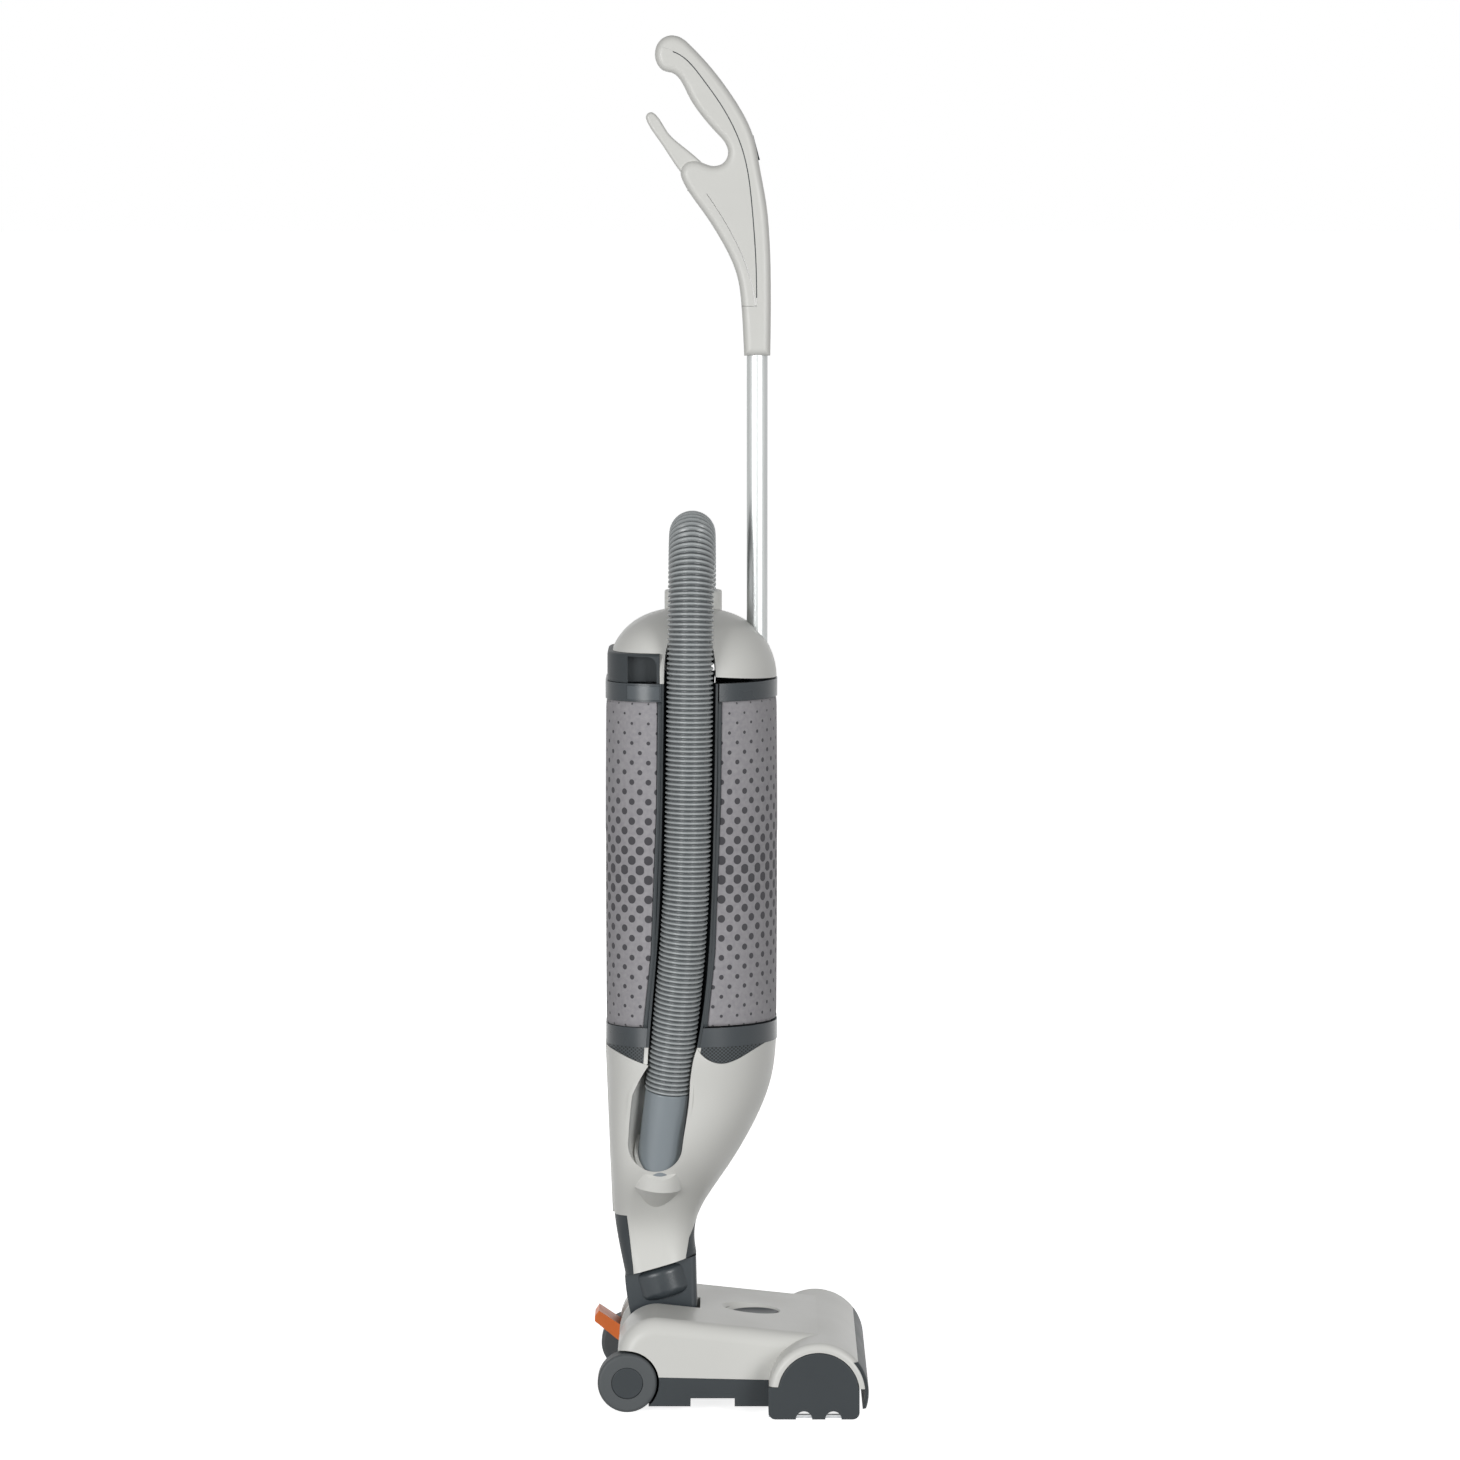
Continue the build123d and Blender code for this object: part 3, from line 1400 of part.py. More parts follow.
def grip_front_region(gap):
    """Side-view region of the grip's front shell, ahead of the long seam."""
    seam = Spline(*[grip_point(point) for point in grip_seam])
    high = 2 * grip_low_z
    low = grip_low_z + tube_grip_depth - gap
    rest = Polyline(
        seam @ 1, ((seam @ 1).X, low), (-150, low), (-150, 0), (150, 0), (150, high),
        ((seam @ 0).X, high), seam @ 0,
    )
    return Pos(gap, 0, 0) * side_slab(make_face([seam, rest]), -100, 100)


def grip_strip_region(gap):
    """Side-view region of the cord cover strip down the grip's back."""
    inner = Spline(*[grip_point(point, gap) for point in strip_edge])
    low = grip_low_z + strip_low_rise
    rest = Polyline(inner @ 1, (-150, (inner @ 1).Y), (-150, low), grip_point(strip_top, gap), inner @ 0)
    return side_slab(make_face([inner, rest]), -100, 100)


def rocker_place():
    """Frame of the rocker switch: X out of the grip, Z up along its front."""
    return Pos(rocker_x, 0, rocker_z) * Rot(Y=-rocker_lean)


def rocker_room(grow):
    """Pocket of the rocker switch in the front shell."""
    return rocker_place() * Pos(-rocker_depth / 2, 0, 0) * Box(
        rocker_depth + 6, rocker_width + 2 * grow, rocker_length + 2 * grow,
    )


def make_grip_front(form):
    """Front shell of the grip with the tube socket and the switch pocket."""
    shell = form & grip_front_region(grip_seam_gap)
    shell = shell - post(tube_x, 0, tube_radius + pin_clearance, 0, tube_high_z)
    return shell - rocker_room(0.8) - switch_room(seat_gap) + rocker_pin_bar(0)


def make_grip_rear(form):
    """Rear shell of the grip with the hook prong."""
    shell = form - grip_front_region(0) - grip_strip_region(0)
    shell = shell - post(tube_x, 0, tube_radius + seat_gap, 0, tube_high_z) - switch_room(seat_gap)
    return shell - gland_bar(seat_gap)


def make_cord_cover(form):
    """Clip-on strip down the grip's back."""
    strip = (form - grip_front_region(0)) & grip_strip_region(grip_seam_gap)
    return strip - post(tube_x, 0, tube_radius + 0.5, 0, tube_high_z)


def switch_room(grow):
    """Space of the switch block behind the rocker."""
    return rocker_place() * Pos(-rocker_depth - 9, 0, 0) * Box(
        12 + 2 * grow, rocker_width - 1 + 2 * grow, rocker_length - 2 + 2 * grow,
    )


def make_switch_block():
    """Mains switch behind the rocker."""
    return switch_room(0)


def rocker_pin_bar(grow):
    """Cross pin of the rocker."""
    bar = Rot(X=90) * Cylinder(rocker_pin_radius + grow, rocker_width + 5)
    return rocker_place() * Pos(-rocker_depth / 2, 0, 0) * bar


def make_rocker_switch():
    """Rocker with a hollow waist, turning on its pin."""
    body = rocker_place() * Pos(-rocker_depth / 2 + 1, 0, 0) * Box(rocker_depth, rocker_width, rocker_length)
    waist = rocker_place() * Pos(rocker_length * 1.45, 0, 0) * Rot(X=90) * Cylinder(rocker_length * 1.4, 40)
    return body - waist - rocker_pin_bar(pin_clearance)


def gland_bar(grow):
    """Round bar along the cord gland in the grip's back."""
    place = Pos(gland_x, 0, gland_z) * Rot(Y=-gland_lean)
    return place * Cylinder(gland_radius + grow, gland_length)


def make_cord_gland():
    """Rubber grommet where a mains cord would leave the grip."""
    place = Pos(gland_x, 0, gland_z) * Rot(Y=-gland_lean)
    return gland_bar(0) - place * Cylinder(gland_radius - 2.5, gland_length + 2)


def screw_places():
    """Screw positions under the tray."""
    return [(x, y) for x in (-60.0, 20.0) for y in (-80.0, 80.0)]


def make_tray_screws():
    """Screws up through the tray's floor."""
    screws = []
    for x, y in screw_places():
        head = post(x, y, screw_head_radius, base_floor_z, base_floor_z + screw_head_height)
        shank = post(x, y, screw_radius, base_floor_z, base_floor_z + base_wall + 8)
        screws.append(head + shank)
    return Compound(children=screws)


def screw_holes():
    """Countersinks and holes of the tray screws."""
    holes = []
    for x, y in screw_places():
        sink = post(x, y, screw_head_radius + seat_gap, 0, base_floor_z + screw_head_height)
        holes.append(sink + post(x, y, screw_radius + pin_clearance, 0, base_floor_z + 2 * base_wall))
    return holes


def make_all():
    """Every piece by its node name."""
    skirt = neck_skirt()
    grip = grip_form()
    return {
        "head_base": make_head_base(),
        "head_cover": make_head_cover(),
        "front_bumper": make_front_bumper(),
        "brush_end_cap_right": make_end_cap(-1),
        "brush_end_cap_left": make_end_cap(1),
        "sole_plate": make_sole_plate(),
        "brush_bushes": make_brush_bushes(),
        "brush_core": make_brush_core(),
        "brush_bristles": make_brush_bristles(),
        "drive_belt": make_drive_belt(),
        "head_motor": make_head_motor(),
        "head_motor_shaft": make_head_shaft(),
        "suction_duct": make_suction_duct(),
        "rear_wheel_right": make_wheel(-1),
        "rear_wheel_left": make_wheel(1),
        "hub_cap_right": make_hub_cap(-1),
        "hub_cap_left": make_hub_cap(1),
        "wheel_axles": make_wheel_axles(),
        "height_dial": make_height_dial(),
        "release_pedal": make_release_pedal(),
        "pedal_pin": make_pedal_pin(),
        "tray_screws": make_tray_screws(),
        "tilt_pins": make_tilt_pins(),
        "neck_elbow": make_neck_elbow(),
        "swivel_clip": make_swivel_clip(),
        "rear_neck_cover": make_rear_neck_cover(skirt),
        "front_neck_cover": make_front_neck_cover(skirt),
        "lower_housing": make_lower_housing(skirt),
        "exhaust_grille": make_exhaust_grille(),
        "bottom_ring": make_bottom_ring(),
        "rear_sleeve": make_rear_sleeve(),
        "front_sleeve": make_front_sleeve(),
        "chamber_shell": make_chamber_shell(),
        "door_shell": make_door_shell(),
        "door_pin": make_door_pin(),
        "top_ring": make_top_ring(),
        "door_band": make_door_band(),
        "bag_window": make_bag_window(),
        "dome_cover": make_dome_cover(),
        "carry_grip": make_carry_grip(),
        "lid_seal": make_lid_seal(),
        "top_deck": make_top_deck(),
        "channel_trim": make_channel_trim(),
        "suction_motor": make_suction_motor(),
        "motor_mounts": make_motor_mounts(),
        "fan_impeller": make_fan_impeller(),
        "fan_case": make_fan_case(),
        "chamber_floor": make_chamber_floor(),
        "motor_filter": make_motor_filter(),
        "dust_bag": make_dust_bag(),
        "hose_socket": make_hose_socket(),
        "hose": make_hose(),
        "hose_cuff": make_hose_cuff(),
        "handle_tube": make_handle_tube(),
        "grip_front": make_grip_front(grip),
        "grip_rear": make_grip_rear(grip),
        "cord_cover": make_cord_cover(grip),
        "switch_block": make_switch_block(),
        "rocker_switch": make_rocker_switch(),
        "cord_gland": make_cord_gland(),
    }


os.makedirs("parts", exist_ok=True)
for node, shape in make_all().items():
    export_step(shape, f"parts/{node}.step")
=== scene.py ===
import math
import bmesh
import bpy
import numpy as np
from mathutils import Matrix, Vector


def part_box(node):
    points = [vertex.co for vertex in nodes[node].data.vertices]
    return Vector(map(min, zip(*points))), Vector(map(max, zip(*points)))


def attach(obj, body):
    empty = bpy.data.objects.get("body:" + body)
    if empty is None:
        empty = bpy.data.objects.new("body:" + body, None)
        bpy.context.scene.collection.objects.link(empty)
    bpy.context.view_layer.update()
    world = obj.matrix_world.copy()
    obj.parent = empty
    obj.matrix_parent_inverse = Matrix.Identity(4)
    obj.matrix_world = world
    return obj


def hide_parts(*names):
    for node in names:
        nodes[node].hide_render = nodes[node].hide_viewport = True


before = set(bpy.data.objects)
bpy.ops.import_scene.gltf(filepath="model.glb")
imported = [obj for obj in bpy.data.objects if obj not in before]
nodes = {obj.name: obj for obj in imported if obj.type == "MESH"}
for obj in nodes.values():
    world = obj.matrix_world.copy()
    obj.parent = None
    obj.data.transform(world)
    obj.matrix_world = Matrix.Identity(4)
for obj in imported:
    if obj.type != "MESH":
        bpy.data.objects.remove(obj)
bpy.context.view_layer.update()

MM = 0.001
weld_distance = 0.001 * MM


# Small helpers

def srgb(code):
    """Linear colour with alpha 1 of an sRGB hex value such as "C9C9C5"."""
    value = np.array([int(code[i:i + 2], 16) for i in (0, 2, 4)]) / 255
    linear = np.where(value <= 0.04045, value / 12.92, ((value + 0.055) / 1.055) ** 2.4)
    return (*linear.tolist(), 1.0)


def add(tree, kind, inputs=None, **settings):
    """Adds one node: settings are its own properties, and inputs are its sockets by name or number, each with
    a value or a link."""
    node = tree.nodes.new(kind)
    for name, value in settings.items():
        setattr(node, name, value)
    for key, value in (inputs or {}).items():
        if isinstance(value, bpy.types.NodeSocket):
            tree.links.new(value, node.inputs[key])
        else:
            node.inputs[key].default_value = value
    return node


def start_material(name, **sockets):
    """New material with a Principled shader whose plain values go on its own sockets."""
    material = bpy.data.materials.new(name)
    material.use_nodes = True
    shader = material.node_tree.nodes["Principled BSDF"]
    for key, value in sockets.items():
        shader.inputs[key.replace("_", " ")].default_value = value
    return material, material.node_tree, shader


def full_turn(count):
    """count angles evenly round a circle, from 0."""
    return np.arange(count) * 2 * np.pi / count


def lengths_along(points):
    """Distance along a line from its first point to each of its points."""
    steps = np.linalg.norm(np.diff(points, axis=0), axis=1)
    return np.concatenate([[0], np.cumsum(steps)])


def with_caps(rings):
    """Rings of points with both ends closed to the middle of the end ring."""
    middles = rings[..., [0, -1], :, :].mean(axis=-2, keepdims=True)
    caps = np.repeat(middles, rings.shape[-2], axis=-2)
    return np.concatenate([caps[..., :1, :, :], rings, caps[..., 1:, :, :]], axis=-3)


def place(name, data):
    """Puts a mesh, a lamp or a camera into the scene as an object at the origin."""
    holder = bpy.data.objects.new(name, data)
    bpy.context.scene.collection.objects.link(holder)
    return holder


def surface(name, points, wrap_u=False, wrap_v=False, uv=None, flip=False, weld=False):
    """Mesh piece of a grid of points, or of a stack of grids: quads join neighbours, and a grid closes on
    itself where it wraps. Welding joins points that fall together, as at a pole."""
    index = np.arange(points[..., 0].size).reshape(points.shape[:-1])
    if wrap_u:
        index = np.concatenate([index, index[..., :1, :]], axis=-2)
    if wrap_v:
        index = np.concatenate([index, index[..., :1]], axis=-1)
    quads = np.stack([
        index[..., :-1, :-1], index[..., 1:, :-1], index[..., 1:, 1:], index[..., :-1, 1:],
    ], axis=-1)
    if flip:
        quads = quads[..., ::-1]
    quads = quads.reshape(-1, 4)
    mesh = bpy.data.meshes.new(name)
    mesh.vertices.add(points[..., 0].size)
    mesh.vertices.foreach_set("co", np.ascontiguousarray(points, dtype=np.float32).ravel())
    mesh.loops.add(quads.size)
    mesh.loops.foreach_set("vertex_index", quads.astype(np.int32).ravel())
    mesh.polygons.add(len(quads))
    mesh.polygons.foreach_set("loop_start", np.arange(0, quads.size, 4, dtype=np.int32))
    mesh.polygons.foreach_set("use_smooth", np.ones(len(quads), dtype=bool))
    mesh.update(calc_edges=True)
    if uv is not None:
        layer = mesh.uv_layers.new(name="UVMap")
        layer.data.foreach_set("uv", np.ascontiguousarray(uv.reshape(-1, 2)[quads], dtype=np.float32).ravel())
    if weld:
        grid = bmesh.new()
        grid.from_mesh(mesh)
        bmesh.ops.remove_doubles(grid, verts=grid.verts, dist=weld_distance)
        grid.to_mesh(mesh)
        grid.free()
    return place(name, mesh)


def dress(piece, material, body, slot, *replaced):
    """Gives a new piece its material and the body it rides on, and hides the nodes it stands for. The slot is
    not used.
    """
    piece.data.materials.clear()
    piece.data.materials.append(material)
    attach(piece, body)
    if replaced:
        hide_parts(*replaced)


def paint(material, *names):
    """Gives CAD nodes a finished material."""
    for name in names:
        piece = nodes[name]
        piece.data.materials.clear()
        piece.data.materials.append(material)


# Finishes. Noise mostly keeps between noise_low and noise_high

noise_low = 0.3
noise_high = 0.7
cloud_size = 45 * MM
roughness_drift = 0.05


def object_place(tree):
    """Place on the piece in its own frame, in metres."""
    return add(tree, "ShaderNodeTexCoord").outputs["Object"]


def noise(tree, place_at, size, detail, **extra):
    """Noise from 0 to 1 whose blotches are about size metres across."""
    inputs = {"Vector": place_at, "Scale": 1 / size, "Detail": detail, **extra}
    return add(tree, "ShaderNodeTexNoise", inputs).outputs["Fac"]


def tones(tree, share, low, high, low_at=0.0, high_at=1.0):
    """Colour that runs from low to high as the share goes from low_at to high_at."""
    ramp = add(tree, "ShaderNodeValToRGB", {"Fac": share})
    for element, colour, position in zip(ramp.color_ramp.elements, (low, high), (low_at, high_at)):
        element.position = position
        element.color = colour
    return ramp.outputs["Color"]


def tint_base(tree, shader, share, low, high, low_at=0.0, high_at=1.0):
    """Gives the shader such a run of tones as its base colour."""
    tree.links.new(tones(tree, share, low, high, low_at, high_at), shader.inputs["Base Color"])


def mix_colours(tree, share, low, high):
    """Colour between two colours, each a value or a link, by a share from 0 to 1."""
    return add(tree, "ShaderNodeMix", {0: share, 6: low, 7: high}, data_type="RGBA").outputs[2]


def rescale(tree, value, low, high, to_low=0.0, to_high=1.0):
    """Value carried evenly from the range low to high onto the range to_low to to_high and held inside it."""
    inputs = {"Value": value, "From Min": low, "From Max": high, "To Min": to_low, "To Max": to_high}
    return add(tree, "ShaderNodeMapRange", inputs).outputs["Result"]


def vary_roughness(tree, shader, share, rough_low, rough_high, low=0.0, high=1.0):
    """Roughness that runs from rough_low to rough_high as the share goes from low to high."""
    tree.links.new(rescale(tree, share, low, high, rough_low, rough_high), shader.inputs["Roughness"])


def raise_bumps(tree, shader, height, strength, depth):
    """Bump of a depth in metres on the shader's normal."""
    bump = add(tree, "ShaderNodeBump", {"Height": height, "Strength": strength, "Distance": depth})
    tree.links.new(bump.outputs["Normal"], shader.inputs["Normal"])


def shades(colour, darker, lighter):
    """A hex colour times two factors, each cut off at 1."""
    base = np.array(srgb(colour))[:3]
    return [tuple(np.append(np.minimum(base * factor, 1), 1)) for factor in (darker, lighter)]


def moulded(name, colour, roughness, grain_mm, depth_mm, tint=0.05, **sockets):
    """Moulded plastic: cloudy tint, roughness that drifts with it, and the fine grain of the tool's
    spark-eroded steel. The grain is drawn several times coarser than the real 0.2 mm so that it shows."""
    material, tree, shader = start_material(name, Roughness=roughness, **sockets)
    place_at = object_place(tree)
    cloud = noise(tree, place_at, cloud_size, 3.0)
    tint_base(tree, shader, cloud, *shades(colour, 1 - tint, 1 + tint))
    smooth, rough = roughness - roughness_drift, roughness + roughness_drift
    vary_roughness(tree, shader, cloud, smooth, rough, noise_low, noise_high)
    raise_bumps(tree, shader, noise(tree, place_at, grain_mm * MM, 1.0), 0.25, depth_mm * MM)
    return material


def drawn_aluminium():
    """Drawn aluminium tube: fine lines along its length from the drawing die, satin across them."""
    material, tree, shader = start_material("drawn_aluminium", Metallic=1.0, Roughness=0.4)
    stretch = add(tree, "ShaderNodeMapping", {"Vector": object_place(tree), "Scale": (1.0, 1.0, 0.01)})
    lines = noise(tree, stretch.outputs["Vector"], 0.9 * MM, 2.0)
    tint_base(tree, shader, lines, srgb("A6A9A9"), srgb("C0C3C2"))
    vary_roughness(tree, shader, lines, 0.34, 0.46)
    raise_bumps(tree, shader, lines, 0.12, 0.05 * MM)
    return material


def machined_steel(name, colour, roughness):
    """Turned and pressed steel: faint cutter marks with slight colour drift."""
    material, tree, shader = start_material(name, Metallic=1.0, Roughness=roughness)
    marks = noise(tree, object_place(tree), 1.4 * MM, 4.0)
    tint_base(tree, shader, marks, *shades(colour, 0.8, 1.15))
    raise_bumps(tree, shader, marks, 0.15, 0.05 * MM)
    return material


def fleece(name, colour, dark, fibre_mm):
    """Pressed fibre fleece: soft tangled fibres seen as mottled tone and a fuzzy bump."""
    material, tree, shader = start_material(name, Roughness=0.92, Sheen_Weight=0.25)
    fibre = noise(tree, object_place(tree), fibre_mm * MM, 5.0, Distortion=1.2)
    tint_base(tree, shader, fibre, srgb(dark), srgb(colour), noise_low, noise_high)
    raise_bumps(tree, shader, fibre, 0.5, 0.5 * MM)
    return material


dot_pitch_round = 7.6 * MM
dot_pitch_up = 16.9 * MM
dot_middle_z = 463 * MM
dot_reach = 150 * MM
dot_small = 0.8 * MM
dot_large = 4.3 * MM
dot_edge = 0.12 * MM
weave_pitch = 1.1 * MM
hole_pitch_along = 1.7 * MM
hole_pitch_up = 3.0 * MM
hole_radius = 0.8 * MM
hole_edge = 0.1 * MM


def maths(tree, operation, first, second=0.0, third=0.0):
    """Result of one math step on sockets or numbers."""
    return add(tree, "ShaderNodeMath", {0: first, 1: second, 2: third}, operation=operation).outputs[0]


def staggered_dots(tree, across, up, pitch_across, pitch_up):
    """Height of the nearest dot's centre and the distance from it. The dots stand in columns, and every other
    column is moved by half the distance between two dots."""
    along = maths(tree, "DIVIDE", across, pitch_across)
    column = maths(tree, "ROUND", along)
    side = maths(tree, "MULTIPLY", maths(tree, "SUBTRACT", along, column), pitch_across)
    stagger = maths(tree, "MULTIPLY", maths(tree, "FLOORED_MODULO", column, 2.0), 0.5)
    level = maths(tree, "ADD", maths(tree, "DIVIDE", up, pitch_up), stagger)
    row = maths(tree, "ROUND", level)
    height = maths(tree, "MULTIPLY", maths(tree, "SUBTRACT", level, row), pitch_up)
    centre = maths(tree, "MULTIPLY", maths(tree, "SUBTRACT", row, stagger), pitch_up)
    squares = maths(tree, "ADD", maths(tree, "MULTIPLY", side, side), maths(tree, "MULTIPLY", height, height))
    return centre, maths(tree, "SQRT", squares)


def perforated_sheet():
    """Dark outlet grille: round holes in staggered columns on its side view, X and Z in metres. The holes are
    painted near-black as painted shade inside them.
    """
    material, tree, shader = start_material("perforated_dark_abs", Roughness=0.5, Specular_IOR_Level=0.3)
    flat = add(tree, "ShaderNodeSeparateXYZ", {"Vector": object_place(tree)})
    spread = staggered_dots(tree, flat.outputs["X"], flat.outputs["Z"], hole_pitch_along, hole_pitch_up)[1]
    web = rescale(tree, spread, hole_radius - hole_edge, hole_radius + hole_edge)
    # Painted shade: near-black in the holes, the grille's own dark grey on the web between them.
    tint_base(tree, shader, web, srgb("17191A"), srgb("42484B"))
    raise_bumps(tree, shader, web, 0.6, 0.4 * MM)
    return material


def ribbed_vinyl():
    """Grey hose vinyl with painted shade that darkens the grooves and a painted highlight that lightens the
    crests of the ribs. The second direction of the hose's own map counts the ribs, so the tone follows a
    cosine of that count, with a little noise."""
    material, tree, shader = start_material("grey_vinyl_painted_rib_shade", Roughness=0.27)
    flat = add(tree, "ShaderNodeSeparateXYZ", {"Vector": add(tree, "ShaderNodeUVMap").outputs["UV"]})
    wave = maths(tree, "COSINE", maths(tree, "MULTIPLY", flat.outputs["Y"], 2 * math.pi))
    cloud = noise(tree, object_place(tree), 6 * MM, 3.0)
    # Painted shade and highlight: the grooves between the ribs are painted dark and the crests light.
    crest = rescale(tree, maths(tree, "MULTIPLY_ADD", cloud, 0.3, wave), 1.15, -0.85)
    tint_base(tree, shader, crest, srgb("3A3E40"), srgb("A2A7A8"))
    vary_roughness(tree, shader, cloud, 0.22, 0.34)
    return material


def dotted_filter_cloth():
    """Felted filter cloth with a printed halftone: staggered dots on the cloth's own map, which is in metres.
    Each dot's radius falls evenly from the middle of the sleeve to its ends. The cloth's weave is drawn at
    about twice the real thread spacing so that it shows."""
    material, tree, shader = start_material("dotted_filter_cloth", Roughness=0.88, Sheen_Weight=0.2)
    flat = add(tree, "ShaderNodeSeparateXYZ", {"Vector": add(tree, "ShaderNodeUVMap").outputs["UV"]})
    centre, spread = staggered_dots(tree, flat.outputs["X"], flat.outputs["Y"], dot_pitch_round, dot_pitch_up)
    away = maths(tree, "ABSOLUTE", maths(tree, "SUBTRACT", centre, dot_middle_z))
    share = maths(tree, "MINIMUM", maths(tree, "DIVIDE", away, dot_reach), 1.0)
    radius = maths(tree, "MULTIPLY_ADD", share, dot_small - dot_large, dot_large)
    ink = rescale(tree, maths(tree, "SUBTRACT", radius, spread), -dot_edge, dot_edge)
    mottle = noise(tree, object_place(tree), 3.5 * MM, 4.0)
    cloth = tones(tree, mottle, srgb("8C8A8E"), srgb("9A989B"), noise_low, noise_high)
    tree.links.new(mix_colours(tree, ink, cloth, srgb("3F3E42")), shader.inputs["Base Color"])
    threads = [
        maths(tree, "SINE", maths(tree, "MULTIPLY", flat.outputs[axis], 2 * math.pi / weave_pitch))
        for axis in ("X", "Y")
    ]
    weave = maths(tree, "MULTIPLY_ADD", mottle, 1.5, maths(tree, "MULTIPLY", threads[0], threads[1]))
    raise_bumps(tree, shader, weave, 0.25, 0.2 * MM)
    return material


# Ribbed hose, in metres

hose_route = np.array([
    (-32.0, 24.0, 662.0), (-32.0, 24.0, 752.0), (-33.0, -74.0, 752.0), (-35.5, -76.0, 520.0),
    (-39.5, -76.5, 392.0), (-54.0, -59.0, 272.0),
]) * MM
hose_radius = 20.0 * MM
hose_valley = 18.2 * MM
rib_count = 150
rings_per_rib = 10
hose_sides = 48
rib_sharpness = 2.2


def smooth_line(points):
    """Points along the quadratic NURBS spline that has the route's points as its control points."""
    curve = bpy.data.curves.new("route", "CURVE")
    curve.dimensions = "3D"
    curve.resolution_u = 64
    spline = curve.splines.new("NURBS")
    spline.points.add(len(points) - 1)
    spline.points.foreach_set("co", np.column_stack([points, np.ones(len(points))]).ravel())
    spline.order_u = 3
    spline.use_endpoint_u = True
    holder = bpy.data.objects.new("route", curve)
    mesh = bpy.data.meshes.new_from_object(holder)
    line = np.empty(len(mesh.vertices) * 3)
    mesh.vertices.foreach_get("co", line)
    bpy.data.objects.remove(holder)
    bpy.data.curves.remove(curve)
    bpy.data.meshes.remove(mesh)
    return line.reshape(-1, 3)


def along_line(line, distances):
    """Points and unit tangents of a line at distances along it, straight between its own points."""
    length = lengths_along(line)
    slopes = np.gradient(line, length, axis=0)
    points = np.column_stack([np.interp(distances, length, line[:, i]) for i in range(3)])
    tangents = np.column_stack([np.interp(distances, length, slopes[:, i]) for i in range(3)])
    return points, tangents / np.linalg.norm(tangents, axis=1)[:, None]


def tube_points(centres, tangents, radii, sides):
    """Circle of points round each centre, square to the tangent, its start held to the machine's X axis."""
    across = np.array([1.0, 0, 0]) - tangents * tangents[:, :1]
    across /= np.linalg.norm(across, axis=1)[:, None]
    other = np.cross(tangents, across)
    turn = full_turn(sides)
    ring = across[:, None] * np.cos(turn)[None, :, None] + other[:, None] * np.sin(turn)[None, :, None]
    return centres[:, None] + ring * radii[:, None, None]


def make_hose(material):
    """Ribbed hose: a tube along the smooth route whose radius is a rounded square wave, the tanh of a cosine,
    of the distance along it. Its ends close to their centres."""
    line = smooth_line(hose_route)
    total = lengths_along(line)[-1]
    distances = np.linspace(0, total, rib_count * rings_per_rib + 1)
    wave = np.cos(2 * np.pi * rib_count * distances / total)
    crest = 0.5 - 0.5 * np.tanh(rib_sharpness * wave) / np.tanh(rib_sharpness)
    radii = hose_valley + (hose_radius - hose_valley) * crest
    points = with_caps(tube_points(*along_line(line, distances), radii, hose_sides))
    count = np.concatenate([[0], rib_count * distances / total, [rib_count]])[:, None]
    chart = np.stack(np.broadcast_arrays(np.arange(hose_sides)[None] / hose_sides, count), axis=-1)
    piece = surface("hose_ribbed", points, wrap_v=True, uv=chart, flip=True, weld=True)
    dress(piece, material, "column", "hose_grey", "hose")


# Body column: plan outline, cloth sleeves and their edging, in metres

body_rear = -107.0 * MM
body_front = 40.5 * MM
body_half = 73.7 * MM
front_round = 72.7 * MM
rear_round = 45.0 * MM
sleeve_low = 328.0 * MM
sleeve_high = 610.5 * MM
split_low_x = -24.0 * MM
split_top_x = -13.5 * MM
edging_width = 3.6 * MM
edging_height = 1.0 * MM
edging_root = 2.0 * MM
edging_inset = 0.3 * MM
door_lift = 1.0 * MM
door_gap = 0.5 * MM
trough_half = 24.0 * MM
trough_height = np.array([311.0, 392.0, 520.0, 626.0]) * MM
trough_middle = np.array([-49.0, -40.5, -35.6, -34.4]) * MM
cloth_thickness = 3.0 * MM
cloth_bulge = 0.6 * MM
cloth_dip = 0.9 * MM
cloth_inset = 0.4 * MM


def arc(centre, radius, start, end, count):
    """Points of a circle's arc between two angles in degrees."""
    turn = np.radians(np.linspace(start, end, count))
    return np.column_stack([centre[0] + radius * np.cos(turn), centre[1] + radius * np.sin(turn)])


def column_outline():
    """Closed plan of the column from the middle of its back, round the far side, the front and the near side:
    straight back, tight rear corners, straight sides and a wide front arc. Also the distance along it."""
    half = np.concatenate([
        [[body_rear, 0.0]],
        arc((body_rear + rear_round, body_half - rear_round), rear_round, 180, 90, 60),
        arc((body_front - front_round, body_half - front_round), front_round, 90, 0, 120),
        [[body_front, 0.0]],
    ])
    loop = np.concatenate([half, half[::-1][1:] * [1, -1]])
    return loop, lengths_along(loop)


outline, outline_length = column_outline()
outline_total = outline_length[-1]


def round_column(distance, proud):
    """Plan points at distances round the column, standing proud of it along the outward normal."""

    def at(way):
        way = np.mod(way, outline_total)
        return np.stack([np.interp(way, outline_length, outline[:, i]) for i in (0, 1)])

    step = 0.2 * MM
    run = at(distance + step) - at(distance - step)
    run /= np.linalg.norm(run, axis=0)
    x, y = at(distance)
    return x - run[1] * proud, y + run[0] * proud


def far_side(x):
    """Distance round the column to where its far side passes x."""
    half = len(outline) // 2
    return np.interp(x, outline[:half, 0], outline_length[:half])


def near_side(x):
    """Distance round the column to where its near side passes x."""
    return outline_total - far_side(x)


